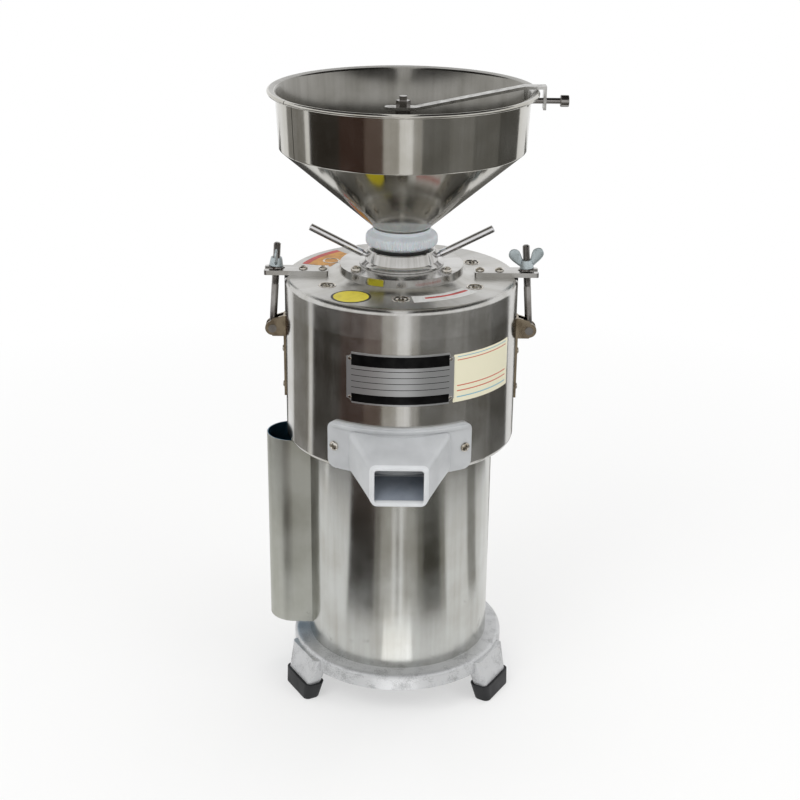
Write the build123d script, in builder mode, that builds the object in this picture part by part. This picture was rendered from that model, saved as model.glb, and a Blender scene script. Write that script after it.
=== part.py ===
"""Vertical peanut butter mill: hopper, adjustable stone head, discharge spout, shell and three-legged base.

Millimetres, +Z up. The origin is on the mill axis, on the plane that the three feet stand on.
The front, where the spout is, faces -Y. The side box stands on -X.
"""

import os
from math import asin, atan2, cos, degrees, radians, sin, sqrt, tan

from build123d import *

# General clearances
free_gap = 0.3  # between pieces that move past each other
running = 0.05  # radial gap of a shaft, pin or spigot that turns or slides in its bore
seat_gap = 0.02  # radial gap of a piece pushed onto its seat
sheet = 1.2  # thickness of the stainless sheet
overcut = 1.0  # how far a cut runs past the faces that it opens
edge_share = 0.45  # share of a rim's or strip's width that a fully rounded edge takes
head_share = 0.7  # share of a domed head's height that its rounded edge takes

# Heights of the main stack, from the floor up
boot_height = 19.0
leg_height = 35.0
base_thickness = 18.0
shell_height = 245.0
housing_height = 149.0
lid_height = 32.0
boss_height = 4.0
dial_thickness = 8.5
collar_height = 16.5
neck_seal_height = 3.0
ring_height = 20.0
cone_height = 86.0
band_height = 60.0

base_bottom = leg_height
base_top = base_bottom + base_thickness
housing_bottom = base_top + shell_height
housing_top = housing_bottom + housing_height
lid_top = housing_top + lid_height
dial_bottom = lid_top + boss_height
dial_top = dial_bottom + dial_thickness
collar_top = dial_top + collar_height
ring_bottom = collar_top + neck_seal_height
ring_top = ring_bottom + ring_height
cone_bottom = ring_top
band_bottom = cone_bottom + cone_height
rim_height = band_bottom + band_height

# Radii of the main stack
base_radius = 120.0
shell_radius = 102.4
housing_radius = 125.0
dial_radius = 66.0
boss_radius = 77.0

# Base casting, legs and rubber boots
base_plate = 8.0
base_skirt = 10.0
base_opening_radius = 42.0
base_round = 5.0
spigot_height = 6.0
spigot_wall = 5.0
leg_angles = (-150.0, -30.0, 90.0)
leg_top_radius = 113.0
leg_foot_radius = 125.0
leg_width_top = 58.0
leg_width_foot = 48.0
leg_depth_top = 20.0
leg_depth_foot = 16.0
leg_round = 5.0
boot_wall = 3.0
boot_sole = 6.0
boot_toe_wall = 1.5
boot_toe_round = 2.0

# Motor inside the shell
frame_radius = 78.0
frame_bore_radius = 70.0
motor_core_height = 80.0
motor_core_rise = 72.0
air_gap = 0.5
rotor_radius = 40.0
rotor_ring_inner = 28.0
winding_height = 22.0
winding_wall = 18.0
winding_round = 6.0
core_bolt_radius = 62.0
core_bolt = 2.5
core_bolt_count = 4
core_bolt_head_radius = 4.0
core_bolt_head_height = 3.5
shaft_radius = 12.5
shaft_core_radius = 15.0
shaft_foot_radius = 8.5
shaft_nose_radius = 10.0
shaft_thread_radius = 8.0
lower_bearing_radius = 20.0
lower_bearing_width = 12.0
lower_bearing_rise = 29.0
upper_bearing_radius = 26.0
upper_bearing_width = 15.0
bearing_land = 4.0
bearing_recess = 1.0
shield_plate = 8.0
shield_hub_wall = 7.0
shield_vent_radius = 9.0
shield_vent_count = 6
fan_radius = 46.0
fan_height = 14.0
fan_hub_radius = 16.0
fan_blade = 2.0
fan_blade_count = 7
fan_bottom = base_top + spigot_height

# Mill housing and what turns in it
housing_wall = 9.0
housing_floor = 10.0
housing_round = 5.0
hub_radius = 34.0
feed_room = 5.5
shaft_passage = 2.0
seal_outer_radius = 20.0
seal_height = 7.0
gasket_width = 4.0
gasket_depth = 2.0
gasket_margin = 2.5
carrier_radius = 52.0
carrier_plate = 8.0
carrier_rise = 11.0
skirt_gap = 2.0
skirt_wall = 4.0
stone_radius = 50.0
stone_height = 20.0
stone_eye_radius = 17.0
stone_gap = 0.5
furrow_count = 12
furrow_width = 3.0
furrow_depth = 1.5
furrow_slant = 25.0
carrier_hub_height = 15.0
stone_nut_height = 13.0
stone_nut_flats = 24.0
scraper_count = 2
scraper_thickness = 6.0
scraper_width = 10.0
scraper_gap = 3.0
outlet_half_width = 44.0
outlet_height = 34.0
outlet_round = 8.0

# Lid and adjusting gear
lid_round = 6.0
boss_step = 1.0
boss_side_reach = 0.4  # where the boss's hollow side bends, as a share of its width
boss_side_rise = 0.2  # and of its height
lid_wall = 12.0
lid_plate = 14.0
lid_screw_circle = 89.0
lid_screw_count = 6
lid_screw_radius = 3.0
lid_screw_head_radius = 6.0
lid_screw_recess = 1.0
lid_screw_recess_depth = 1.5
lid_screw_length = 10.0
dial_spigot_radius = 45.0
dial_spigot_depth = 17.0
dial_bolt_circle = 55.0
dial_bolt_count = 3
dial_bolt_radius = 3.0
dial_bolt_head_radius = 5.0
dial_bolt_head_height = 4.0
dial_bolt_length = 14.0
collar_spigot_radius = 34.0
collar_foot_radius = 45.0
collar_waist_radius = 39.0
collar_top_radius = 36.0
collar_foot_edge = 1.8
collar_waist_rise = 5.0
collar_chamfer = 1.0
collar_cove_start = (-1.0, 0.1)  # direction in which the cove leaves the foot
collar_lock_radius = 2.0
collar_lock_length = 20.0
lock_angle = -92.0
sleeve_radius = 25.0
sleeve_bore_radius = 16.0
sleeve_flange = 8.0
sleeve_flange_radius = 56.0
sleeve_clear_top = 3.0
neck_entry = 4.0
key_width = 8.0
key_inner_radius = 30.0
key_outer_radius = 40.0
key_height = 11.0
key_count = 2
spigot_throat_radius = 27.0
handle_radius = 4.0
handle_stud_radius = 2.5
handle_neck_radius = 3.0
handle_neck_start = 1.0
handle_neck_length = 3.0
handle_stud_depth = 6.0
handle_root = 38.5
handle_tip = 97.0
handle_root_rise = 8.5
handle_rise = 30.0
handle_round = 1.0

# Neck seal, coupling ring and hopper
neck_seal_radius = 29.0
ring_radius = 38.0
ring_foot_radius = 32.0
ring_lip_radius = 31.0
ring_lip_height = 4.0
ring_upper_flank = (1.0, 0.3)  # direction of the flank under the lip
ring_lower_flank = (-1.0, -0.4)  # and where it meets the foot
hopper_sheet = 1.5
neck_radius = 21.5
cone_foot_radius = 29.0
band_foot_radius = 128.7
band_top_radius = 131.5
rim_radius = 139.9
rim_thickness = 3.0
neck_depth = 4.0

# Cross strip, thumb screw and feed rod in the hopper
strip_thickness = 3.0
strip_width = 14.0
strip_drop = 22.0
strip_end = 19.0
strip_flat = 12.0
strip_above_rim = 1.0
saddle_drop = 20.0
saddle_inside = 3.0
saddle_outside = 3.5
thumb_drop = 11.5
thumb_radius = 3.0
thumb_head_radius = 6.0
thumb_head_width = 9.0
thumb_reach = 170.0
rod_radius = 4.0
rod_neck_reach = 23.0
rod_end = 4.5
rod_nut_flats = 13.0
rod_nut_height = 6.5
rod_toe_length = 13.0

# Swing bolts, clamp arms and clevises
arm_thickness = 5.0
arm_width = 22.0
arm_cover = 47.0  # how far the arm reaches in over the lid
arm_overhang = 7.7  # and out past the pivot
arm_screw_insets = (41.0, 20.0)
arm_screw_radius = 2.5
arm_screw_head_radius = 4.8
arm_screw_head_height = 2.6
arm_screw_length = 12.0
slot_width = 9.6
slot_reach = 11.8
pad_width = 16.0
pad_drop = 5.0
pivot_standoff = 13.8
pivot_drop = 29.0
bolt_lean = 4.0
bolt_radius = 4.0
bolt_tail = 27.3
bolt_eye_radius = 7.0
bolt_eye_width = 8.4
pin_radius = 3.0
pin_head_radius = 4.5
pin_head_width = 1.6
ear_thickness = 2.5
ear_round = 8.0
ear_below = 9.0
ear_above = 14.5
strap_width = 18.0
strap_thickness = 2.2
strap_drop = 77.0
rivet_drops = (66.5, 25.0)
rivet_depth = 4.5
rivet_radius = 2.0
rivet_head_radius = 3.4
rivet_head_height = 1.6
washer_radius = 8.0
washer_thickness = 1.6
washer_gap = 0.48
wing_base_radius = 7.5
wing_base_height = 9.0
wing_base_taper = 8.0
wing_valley = 7.2
wing_thickness = 3.0
wing_span = 41.0
wing_height = 25.0
wing_tip_radius = 6.0

# Discharge spout
flange_half_width = 78.0
flange_rise = 2.0
flange_height = 52.0
flange_thickness = 4.0
flange_round = 9.0
chute_half_width = 48.0
chute_rise = 2.5
chute_height = 44.5
mouth_half_width = 28.5
mouth_drop = 16.0
mouth_height = 43.0
spout_length = 40.0
mouth_wall = 4.0
mouth_round = 6.0
spout_screw_inset = 12.0
spout_screw_drop = 27.0
spout_screw_radius = 2.5
spout_screw_head_radius = 5.0
spout_screw_head_height = 3.0
spout_screw_length = 12.0

# Data plate
plate_width = 110.0
plate_rise = 78.0
plate_height = 55.0
plate_thickness = 0.8
plate_notch = 5.0
plate_rivet_inset = 4.0
plate_rivet_radius = 1.2
plate_rivet_depth = 3.0
plate_rivet_head_radius = 2.0
plate_rivet_head_height = 1.0

# Side box with the capacitor and the switch
box_radius = 29.0
box_standoff = 16.6
box_rise = 15.6
box_drop = 3.0
wiring_hole_radius = 8.0
wiring_hole_rise = 122.0
capacitor_radius = 18.0
capacitor_height = 78.0
capacitor_offset = 5.0
terminal_radius = 2.5
terminal_height = 8.0
terminal_spacing = 14.0
switch_drop = 80.0
switch_body_width = 13.0
switch_body_height = 19.0
switch_body_depth = 14.0
bezel_width = 15.0
bezel_height = 21.0
bezel_thickness = 2.0
bezel_round = 1.0
rocker_width = 9.4
rocker_half = 7.4
rocker_proud = 3.2
rocker_crown = 1.6
rocker_root = 1.5
rocker_dip = 0.5
rocker_axle_depth = 0.4
rocker_pocket_depth = 5.0
rocker_pin_radius = 1.2
pin_end = 1.2
gland_rise = 31.0
gland_body_radius = 8.0
gland_nut_radius = 11.0
gland_nut_width = 4.0
gland_cap_radius = 8.5
gland_cap_length = 10.0
gland_cap_taper = 12.0
gland_bore_radius = 4.0
gland_body_bore_radius = 5.0
vent_count = 7
vent_width = 3.5
vent_length = 26.0
vent_spacing = 9.0
vent_rise = 72.0

# Places that follow from the sizes above
motor_core_bottom = base_top + motor_core_rise
lower_bearing_bottom = base_top + lower_bearing_rise
handle_root_height = dial_top + handle_root_rise
handle_tip_height = handle_root_height + handle_rise
strip_height = rim_height - strip_drop
strip_top = strip_height + strip_thickness
thumb_height = rim_height - thumb_drop
rod_bottom = cone_bottom - rod_neck_reach
rod_top = strip_top + rod_nut_height + rod_end
pivot_reach = housing_radius + pivot_standoff
pivot_height = housing_top - pivot_drop
arm_start = housing_radius - arm_cover
arm_end = pivot_reach + arm_overhang
arm_screw_places = [housing_radius - inset for inset in arm_screw_insets]
slot_start = pivot_reach - slot_reach
ear_low = pivot_height - ear_below
ear_high = pivot_height + ear_above
strap_bottom = pivot_height - strap_drop
rivet_heights = [pivot_height - drop for drop in rivet_drops]
clamp_rise = lid_top + arm_thickness - pivot_height
washer_place = (clamp_rise / cos(radians(bolt_lean)) + washer_radius * tan(radians(bolt_lean)) + washer_gap)
bolt_length = washer_place + bolt_tail
flange_low = housing_bottom + flange_rise
flange_high = flange_low + flange_height
chute_low = housing_bottom + chute_rise
chute_high = chute_low + chute_height
mouth_low = housing_bottom - mouth_drop
mouth_high = mouth_low + mouth_height
mouth_reach = housing_radius + spout_length
spout_screw_reach = flange_half_width - spout_screw_inset
spout_screw_height = flange_high - spout_screw_drop
plate_low = housing_bottom + plate_rise
plate_high = plate_low + plate_height
box_centre = shell_radius + box_standoff
box_low = base_top + box_rise
box_high = housing_bottom - box_drop
wiring_hole_height = base_top + wiring_hole_rise
capacitor_reach = box_centre + capacitor_offset
switch_height = box_high - switch_drop
switch_place = -(box_centre + sqrt(shell_radius ** 2 - box_radius ** 2)) / 2
gland_height = base_top + gland_rise
vent_height = base_top + vent_rise
rocker_swing = sqrt(rocker_half ** 2 + rocker_proud ** 2)

sides = {"left": -1, "right": 1}
parts_folder = "parts"
os.makedirs(parts_folder, exist_ok=True)


def save(piece, name):
    """Label a finished piece and write it."""
    piece.label = name
    export_step(piece, f"{parts_folder}/{name}.step")


def turn(*points, mode=Mode.ADD):
    """Revolve a closed outline of (radius, height) corners about the mill axis into the open part."""
    with BuildSketch(Plane.XZ) as outline:
        with BuildLine():
            Polyline(*points, close=True)
        make_face()
    revolve(outline.sketch, axis=Axis.Z, mode=mode)


def band(inner, outer, low, high):
    """Corners of a plain ring's section."""
    return (inner, low), (outer, low), (outer, high), (inner, high)


def rod(plane, radius, start, end, mode=Mode.ADD):
    """A round bar along a plane's normal, between two distances from the plane."""
    with BuildSketch(plane.offset(start)) as outline:
        Circle(radius)
    extrude(outline.sketch, amount=end - start, mode=mode)


def hex_bar(plane, flats, start, end):
    """A hexagonal bar along a plane's normal."""
    with BuildSketch(plane.offset(start)) as outline:
        RegularPolygon(flats / 2, 6, major_radius=False)
    extrude(outline.sketch, amount=end - start)


def round_head(plane, radius, height, start=0.0):
    """A domed screw or rivet head standing on a plane, with its top edge rounded."""
    with BuildPart(mode=Mode.PRIVATE) as head:
        with BuildSketch(plane.offset(start)):
            Circle(radius)
        extrude(amount=height)
        far_end = head.faces().filter_by(GeomType.PLANE).sort_by(Axis(plane.origin, plane.z_dir))[-1]
        fillet(far_end.edges(), height * head_share)
    add(head.part)


def upright(angle, reach, height):
    """A plane on the mill axis's side wall, at an angle from +X, facing out."""
    turned = radians(angle)
    outward = (cos(turned), sin(turned), 0)
    return Plane(origin=(reach * outward[0], reach * outward[1], height),
                 x_dir=(-sin(turned), cos(turned), 0),
                 z_dir=outward)


# Base casting
spigot_radius = shell_radius - sheet - seat_gap
with BuildPart() as base_casting:
    turn(
        (base_opening_radius, base_top - base_plate), (base_radius - base_skirt, base_top - base_plate),
        (base_radius - base_skirt, base_bottom), (base_radius, base_bottom),
        (base_radius, base_top), (base_opening_radius, base_top),
    )
    fillet(base_casting.edges().filter_by(GeomType.CIRCLE).group_by(Axis.Z)[-1].sort_by(SortBy.RADIUS)[-1],
           base_round)
    turn(*band(spigot_radius - spigot_wall, spigot_radius, base_top, base_top + spigot_height))
    for angle in leg_angles:
        out = upright(angle, 0, 0)
        top = Plane(origin=out.z_dir * leg_top_radius + Vector(0, 0, base_top - base_plate / 2),
                    x_dir=out.x_dir, z_dir=(0, 0, 1))
        foot = Plane(origin=out.z_dir * leg_foot_radius + Vector(0, 0, boot_sole), x_dir=out.x_dir,
                     z_dir=(0, 0, 1))
        with BuildSketch(foot):
            RectangleRounded(leg_width_foot, leg_depth_foot, leg_round)
        with BuildSketch(top):
            RectangleRounded(leg_width_top, leg_depth_top, leg_round)
        loft()
save(base_casting.part, "base_casting")

# Rubber boots on the legs
with BuildPart() as rubber_feet:
    for angle in leg_angles:
        out = upright(angle, 0, 0)
        sole = Plane(origin=out.z_dir * leg_foot_radius, x_dir=out.x_dir, z_dir=(0, 0, 1))
        share = (boot_height - boot_sole) / (base_top - base_plate / 2 - boot_sole)
        mouth_centre = leg_foot_radius + (leg_top_radius - leg_foot_radius) * share
        mouth_width = leg_width_foot + (leg_width_top - leg_width_foot) * share + 2 * boot_wall
        mouth_depth = leg_depth_foot + (leg_depth_top - leg_depth_foot) * share + 2 * boot_wall
        mouth = Plane(origin=out.z_dir * mouth_centre + Vector(0, 0, boot_height), x_dir=out.x_dir,
                      z_dir=(0, 0, 1))
        with BuildSketch(sole):
            RectangleRounded(leg_width_foot + 2 * boot_toe_wall, leg_depth_foot + 2 * boot_toe_wall,
                             leg_round + boot_toe_wall)
        with BuildSketch(mouth):
            RectangleRounded(mouth_width, mouth_depth, leg_round + boot_wall)
        loft()
    fillet(rubber_feet.faces().filter_by(Axis.Z).group_by(Axis.Z)[0].edges(), boot_toe_round)
    add(base_casting.part, mode=Mode.SUBTRACT)
save(rubber_feet.part, "rubber_feet")

# Motor shell with cooling slots low at the back
side_wall = Plane(origin=(0, 0, 0), x_dir=(0, 1, 0), z_dir=(-1, 0, 0))
rear_wall = Plane(origin=(0, 0, 0), x_dir=(-1, 0, 0), z_dir=(0, 1, 0))
with BuildPart() as motor_shell:
    turn(*band(shell_radius - sheet, shell_radius, base_top, housing_bottom))
    with BuildSketch(side_wall):
        with Locations((0, wiring_hole_height)):
            Circle(wiring_hole_radius)
    extrude(amount=shell_radius * 2, mode=Mode.SUBTRACT)
    with BuildSketch(rear_wall):
        with Locations((0, vent_height)):
            with GridLocations(vent_spacing, 0, vent_count, 1):
                SlotOverall(vent_length, vent_width, rotation=90)
        with Locations((0, gland_height)):
            Circle(gland_body_radius + seat_gap)
    extrude(amount=shell_radius * 2, mode=Mode.SUBTRACT)
save(motor_shell.part, "motor_shell")

# Cable gland: the inlet at the back, with an empty bore
with BuildPart() as cable_gland:
    gland = Plane(origin=(0, shell_radius, gland_height), x_dir=(-1, 0, 0), z_dir=(0, 1, 0))
    wall_sag = gland_nut_radius ** 2 / shell_radius
    lock_nut_face = -sheet - wall_sag
    rod(gland, gland_body_radius, lock_nut_face - gland_nut_width, gland_nut_width)
    hex_bar(gland, 2 * gland_nut_radius, 0, gland_nut_width)
    hex_bar(gland, 2 * gland_nut_radius, lock_nut_face - gland_nut_width, lock_nut_face)
    with BuildSketch(gland.offset(gland_nut_width)):
        Circle(gland_cap_radius)
    extrude(amount=gland_cap_length, taper=gland_cap_taper)
    gland_step = gland_nut_width / 2
    rod(gland, gland_body_bore_radius, lock_nut_face - gland_nut_width, gland_step, mode=Mode.SUBTRACT)
    rod(gland, gland_bore_radius, gland_step, gland_nut_width + gland_cap_length, mode=Mode.SUBTRACT)
save(cable_gland.part, "cable_gland")

# Motor frame, wound core and end shields
frame_top = housing_bottom - shield_plate
lower_shield_bottom = lower_bearing_bottom + lower_bearing_width - shield_plate
core_top = motor_core_bottom + motor_core_height
core_bore = rotor_radius + air_gap
with BuildPart() as motor_frame:
    turn(*band(frame_bore_radius, frame_radius, base_top, frame_top))
    with BuildSketch(Plane.XY.offset(base_top)):
        Circle(spigot_radius - spigot_wall - seat_gap)
        Circle(frame_bore_radius, mode=Mode.SUBTRACT)
    extrude(amount=spigot_height)
    with BuildSketch(side_wall):
        with Locations((0, wiring_hole_height + core_bolt_radius)):
            Circle(wiring_hole_radius)
    extrude(amount=frame_radius * 2, mode=Mode.SUBTRACT)
save(motor_frame.part, "motor_frame")

with BuildPart() as stator_core:
    turn(*band(core_bore, frame_bore_radius - seat_gap, motor_core_bottom, core_top))
    with BuildSketch(Plane.XY.offset(motor_core_bottom)):
        with PolarLocations(core_bolt_radius, core_bolt_count):
            Circle(core_bolt + seat_gap)
    extrude(amount=motor_core_height, mode=Mode.SUBTRACT)
save(stator_core.part, "stator_core")

with BuildPart() as stator_windings:
    winding_radius = core_bore + winding_wall
    for low in (motor_core_bottom - winding_height, core_top):
        turn(*band(core_bore + air_gap, winding_radius, low, low + winding_height))
    outer_edges = stator_windings.edges().filter_by(GeomType.CIRCLE).group_by(Axis.Z)
    fillet(outer_edges[0] + outer_edges[-1], winding_round)
save(stator_windings.part, "stator_windings")

with BuildPart() as lower_end_shield:
    hub = lower_bearing_radius + shield_hub_wall
    shield_top = lower_shield_bottom + shield_plate
    shield_bore = shaft_core_radius + shaft_passage
    turn(
        (lower_bearing_radius, lower_bearing_bottom), (hub, lower_bearing_bottom),
        (hub, lower_shield_bottom),
        (frame_bore_radius - seat_gap, lower_shield_bottom), (frame_bore_radius - seat_gap, shield_top),
        (hub, shield_top), (hub, shield_top + bearing_land), (shield_bore, shield_top + bearing_land),
        (shield_bore, shield_top), (lower_bearing_radius, shield_top),
    )
    with BuildSketch(Plane.XY.offset(lower_shield_bottom)):
        with PolarLocations((hub + frame_bore_radius) / 2, shield_vent_count,
                            start_angle=180 / shield_vent_count):
            Circle(shield_vent_radius)
        with PolarLocations(core_bolt_radius, core_bolt_count):
            Circle(core_bolt + seat_gap)
    extrude(amount=shield_plate, mode=Mode.SUBTRACT)
save(lower_end_shield.part, "lower_end_shield")

upper_bearing_bottom = housing_bottom + bearing_land + shield_plate
upper_bearing_top = upper_bearing_bottom + upper_bearing_width
with BuildPart() as upper_end_shield:
    shield_rim = frame_radius
    collar_out = upper_bearing_radius - seat_gap
    collar_in = shaft_radius + shaft_passage
    turn(
        (collar_in, frame_top), (shield_rim, frame_top), (shield_rim, housing_bottom),
        (collar_out, housing_bottom), (collar_out, upper_bearing_bottom), (collar_in, upper_bearing_bottom),
    )
    with BuildSketch(Plane.XY.offset(frame_top)):
        with PolarLocations(core_bolt_radius, core_bolt_count):
            Circle(core_bolt + seat_gap)
    extrude(amount=shield_plate, mode=Mode.SUBTRACT)
save(upper_end_shield.part, "upper_end_shield")

# Long bolts that clamp the core between the end shields
with BuildPart() as motor_bolts:
    with BuildSketch(Plane.XY.offset(lower_shield_bottom)):
        with PolarLocations(core_bolt_radius, core_bolt_count):
            Circle(core_bolt)
    extrude(amount=housing_bottom - lower_shield_bottom)
    with BuildSketch(Plane.XY.offset(lower_shield_bottom)):
        with PolarLocations(core_bolt_radius, core_bolt_count):
            RegularPolygon(core_bolt_head_radius, 6)
    extrude(amount=-core_bolt_head_height)
save(motor_bolts.part, "motor_bolts")


def bearing(outer, bore, low, width):
    """A shielded ball bearing: a ring with both faces recessed between its races."""
    race = (outer - bore) / 4
    turn(*band(bore, outer, low, low + width))
    for recess in (low, low + width - bearing_recess):
        turn(*band(bore + race, outer - race, recess, recess + bearing_recess), mode=Mode.SUBTRACT)


with BuildPart() as lower_bearing:
    bearing(lower_bearing_radius - seat_gap, shaft_foot_radius + running, lower_bearing_bottom,
            lower_bearing_width)
save(lower_bearing.part, "lower_bearing")

with BuildPart() as upper_bearing:
    bearing(upper_bearing_radius - seat_gap, shaft_radius + running, upper_bearing_bottom,
            upper_bearing_width)
save(upper_bearing.part, "upper_bearing")

# Mill housing: a drum with a hub for the shaft and an outlet low at the front
spigot_bottom = dial_bottom - dial_spigot_depth
hub_top = (spigot_bottom - feed_room - sleeve_flange - 2 * stone_height - stone_gap - carrier_plate
           - carrier_rise)
chamber_floor = housing_bottom + housing_floor
chamber_radius = housing_radius - housing_wall
front_wall = Plane(origin=(0, 0, 0), x_dir=(1, 0, 0), z_dir=(0, -1, 0))
chute_start = chamber_radius - housing_wall
spout_screw_swing = degrees(asin(spout_screw_reach / housing_radius))
spout_screw_angles = (-90 - spout_screw_swing, -90 + spout_screw_swing)
plate_rivet_swing = degrees(asin((plate_width / 2 - plate_rivet_inset) / housing_radius))
plate_rivet_angles = (-90 - plate_rivet_swing, -90 + plate_rivet_swing)
plate_rivet_margin = plate_rivet_inset + plate_notch / 2
plate_rivet_heights = (plate_low + plate_rivet_margin, plate_high - plate_rivet_margin)
with BuildPart() as mill_housing:
    turn(
        (upper_bearing_radius, housing_bottom), (housing_radius, housing_bottom),
        (housing_radius, housing_top),
        (chamber_radius, housing_top), (chamber_radius, chamber_floor), (hub_radius, chamber_floor),
        (hub_radius, hub_top), (seal_outer_radius, hub_top), (seal_outer_radius, hub_top - seal_height),
        (shaft_radius + shaft_passage, hub_top - seal_height),
        (shaft_radius + shaft_passage, upper_bearing_top),
        (upper_bearing_radius, upper_bearing_top),
    )
    bottom_edges = mill_housing.edges().filter_by(GeomType.CIRCLE).group_by(Axis.Z)[0]
    fillet(bottom_edges.sort_by(SortBy.RADIUS)[-1], housing_round)
    with BuildSketch(front_wall.offset(hub_radius + housing_wall)):
        with Locations((0, chamber_floor + outlet_height / 2)):
            RectangleRounded(2 * outlet_half_width, outlet_height, outlet_round)
    extrude(amount=housing_radius, mode=Mode.SUBTRACT)
    gasket_inner = chamber_radius + gasket_margin
    turn(*band(gasket_inner, gasket_inner + gasket_width, housing_top - gasket_depth, housing_top),
         mode=Mode.SUBTRACT)
    for angle in spout_screw_angles:
        rod(upright(angle, housing_radius, spout_screw_height), spout_screw_radius + seat_gap,
            flange_thickness - spout_screw_length, overcut, mode=Mode.SUBTRACT)
    for angle in plate_rivet_angles:
        for height in plate_rivet_heights:
            rod(upright(angle, housing_radius, height), plate_rivet_radius + seat_gap,
                -plate_rivet_depth, overcut,
                mode=Mode.SUBTRACT)
    for side in sides.values():
        for height in rivet_heights:
            rod(Plane(origin=(side * housing_radius, 0, height), z_dir=(side, 0, 0)),
                rivet_radius + seat_gap, -rivet_depth, overcut, mode=Mode.SUBTRACT)
save(mill_housing.part, "mill_housing")

with BuildPart() as shaft_seal:
    turn(
        (shaft_radius + running, hub_top - seal_height),
        (seal_outer_radius - seat_gap, hub_top - seal_height),
        (seal_outer_radius - seat_gap, hub_top), (shaft_radius + seal_height / 2, hub_top),
        (shaft_radius + seal_height / 2, hub_top - seal_height / 2),
        (shaft_radius + running, hub_top - seal_height / 2),
    )
save(shaft_seal.part, "shaft_seal")

with BuildPart() as lid_gasket:
    turn(*band(gasket_inner + seat_gap, gasket_inner + gasket_width - seat_gap, housing_top - gasket_depth,
               housing_top))
save(lid_gasket.part, "lid_gasket")

# Shaft, rotor core and fan
carrier_bottom = hub_top + carrier_rise
carrier_top = carrier_bottom + carrier_plate
lower_stone_top = carrier_top + stone_height
carrier_hub_top = carrier_top + carrier_hub_height
stone_nut_top = carrier_hub_top + stone_nut_height
core_shoulder = motor_core_bottom - winding_height
with BuildPart() as motor_shaft:
    turn(
        (0, fan_bottom), (shaft_foot_radius, fan_bottom), (shaft_foot_radius, core_shoulder),
        (shaft_core_radius, core_shoulder), (shaft_core_radius, core_top + winding_height),
        (shaft_radius, core_top + winding_height), (shaft_radius, carrier_bottom),
        (shaft_nose_radius, carrier_bottom), (shaft_nose_radius, carrier_hub_top),
        (shaft_thread_radius, carrier_hub_top), (shaft_thread_radius, stone_nut_top),
        (0, stone_nut_top),
    )
save(motor_shaft.part, "motor_shaft")

with BuildPart() as rotor_core:
    turn(*band(shaft_core_radius + seat_gap, rotor_radius, motor_core_bottom, core_top))
    for low in (motor_core_bottom - bearing_land, core_top):
        turn(*band(rotor_ring_inner, rotor_radius - bearing_land, low, low + bearing_land))
save(rotor_core.part, "rotor_core")

with BuildPart() as cooling_fan:
    turn(*band(shaft_foot_radius + seat_gap, fan_hub_radius, fan_bottom, fan_bottom + fan_height))
    turn(*band(fan_hub_radius, fan_radius, fan_bottom + fan_height - fan_blade, fan_bottom + fan_height))
    blade_length = fan_radius - fan_hub_radius
    with BuildSketch(Plane.XY.offset(fan_bottom)):
        with PolarLocations(fan_hub_radius + blade_length / 2, fan_blade_count):
            Rectangle(blade_length + fan_blade, fan_blade)
    extrude(amount=fan_height - fan_blade)
save(cooling_fan.part, "cooling_fan")


def furrows(face_height, into):
    """Slanted grinding furrows cut into a stone's face, open at the stone's edge."""
    with BuildSketch(Plane.XY.offset(face_height)) as cuts:
        with PolarLocations((stone_eye_radius + stone_radius) / 2, furrow_count):
            Rectangle(stone_radius - stone_eye_radius, furrow_width, rotation=furrow_slant)
    extrude(cuts.sketch, amount=into * furrow_depth, mode=Mode.SUBTRACT)


# Turning stone on its carrier, with the scrapers that push the paste to the outlet
with BuildPart() as stone_carrier:
    skirt_inner = hub_radius + skirt_gap
    skirt_low = hub_top - carrier_rise
    carrier_hub_radius = stone_eye_radius - seat_gap
    turn(
        (shaft_nose_radius + seat_gap, carrier_bottom), (skirt_inner, carrier_bottom),
        (skirt_inner, skirt_low),
        (skirt_inner + skirt_wall, skirt_low), (skirt_inner + skirt_wall, carrier_bottom),
        (carrier_radius, carrier_bottom), (carrier_radius, carrier_top), (carrier_hub_radius, carrier_top),
        (carrier_hub_radius, carrier_hub_top), (shaft_nose_radius + seat_gap, carrier_hub_top),
    )
    scraper_reach = chamber_radius - scraper_gap
    for number in range(scraper_count):
        blade = Plane.XZ.rotated((0, 0, number * 360 / scraper_count))
        with BuildSketch(blade.offset(-scraper_thickness / 2)):
            with BuildLine():
                Polyline(
                    (carrier_radius - scraper_width, carrier_bottom), (carrier_radius, carrier_top),
                    (scraper_reach, carrier_top), (scraper_reach, chamber_floor + scraper_gap),
                    (scraper_reach - scraper_width, chamber_floor + scraper_gap),
                    (scraper_reach - scraper_width, carrier_bottom), close=True)
            make_face()
        extrude(amount=scraper_thickness)
save(stone_carrier.part, "stone_carrier")

with BuildPart() as lower_stone:
    turn(*band(stone_eye_radius, stone_radius, carrier_top, lower_stone_top))
    furrows(lower_stone_top, -1)
save(lower_stone.part, "lower_stone")

with BuildPart() as stone_nut:
    hex_bar(Plane.XY, stone_nut_flats, carrier_hub_top, stone_nut_top)
    rod(Plane.XY, shaft_thread_radius + seat_gap, carrier_hub_top, stone_nut_top, mode=Mode.SUBTRACT)
save(stone_nut.part, "stone_nut")

# Standing stone under the threaded sleeve
upper_stone_bottom = lower_stone_top + stone_gap
upper_stone_top = upper_stone_bottom + stone_height
sleeve_flange_top = upper_stone_top + sleeve_flange
sleeve_top = collar_top - neck_entry - sleeve_clear_top
with BuildPart() as upper_stone:
    turn(*band(stone_eye_radius, stone_radius, upper_stone_bottom, upper_stone_top))
    furrows(upper_stone_bottom, 1)
save(upper_stone.part, "upper_stone")

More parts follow.
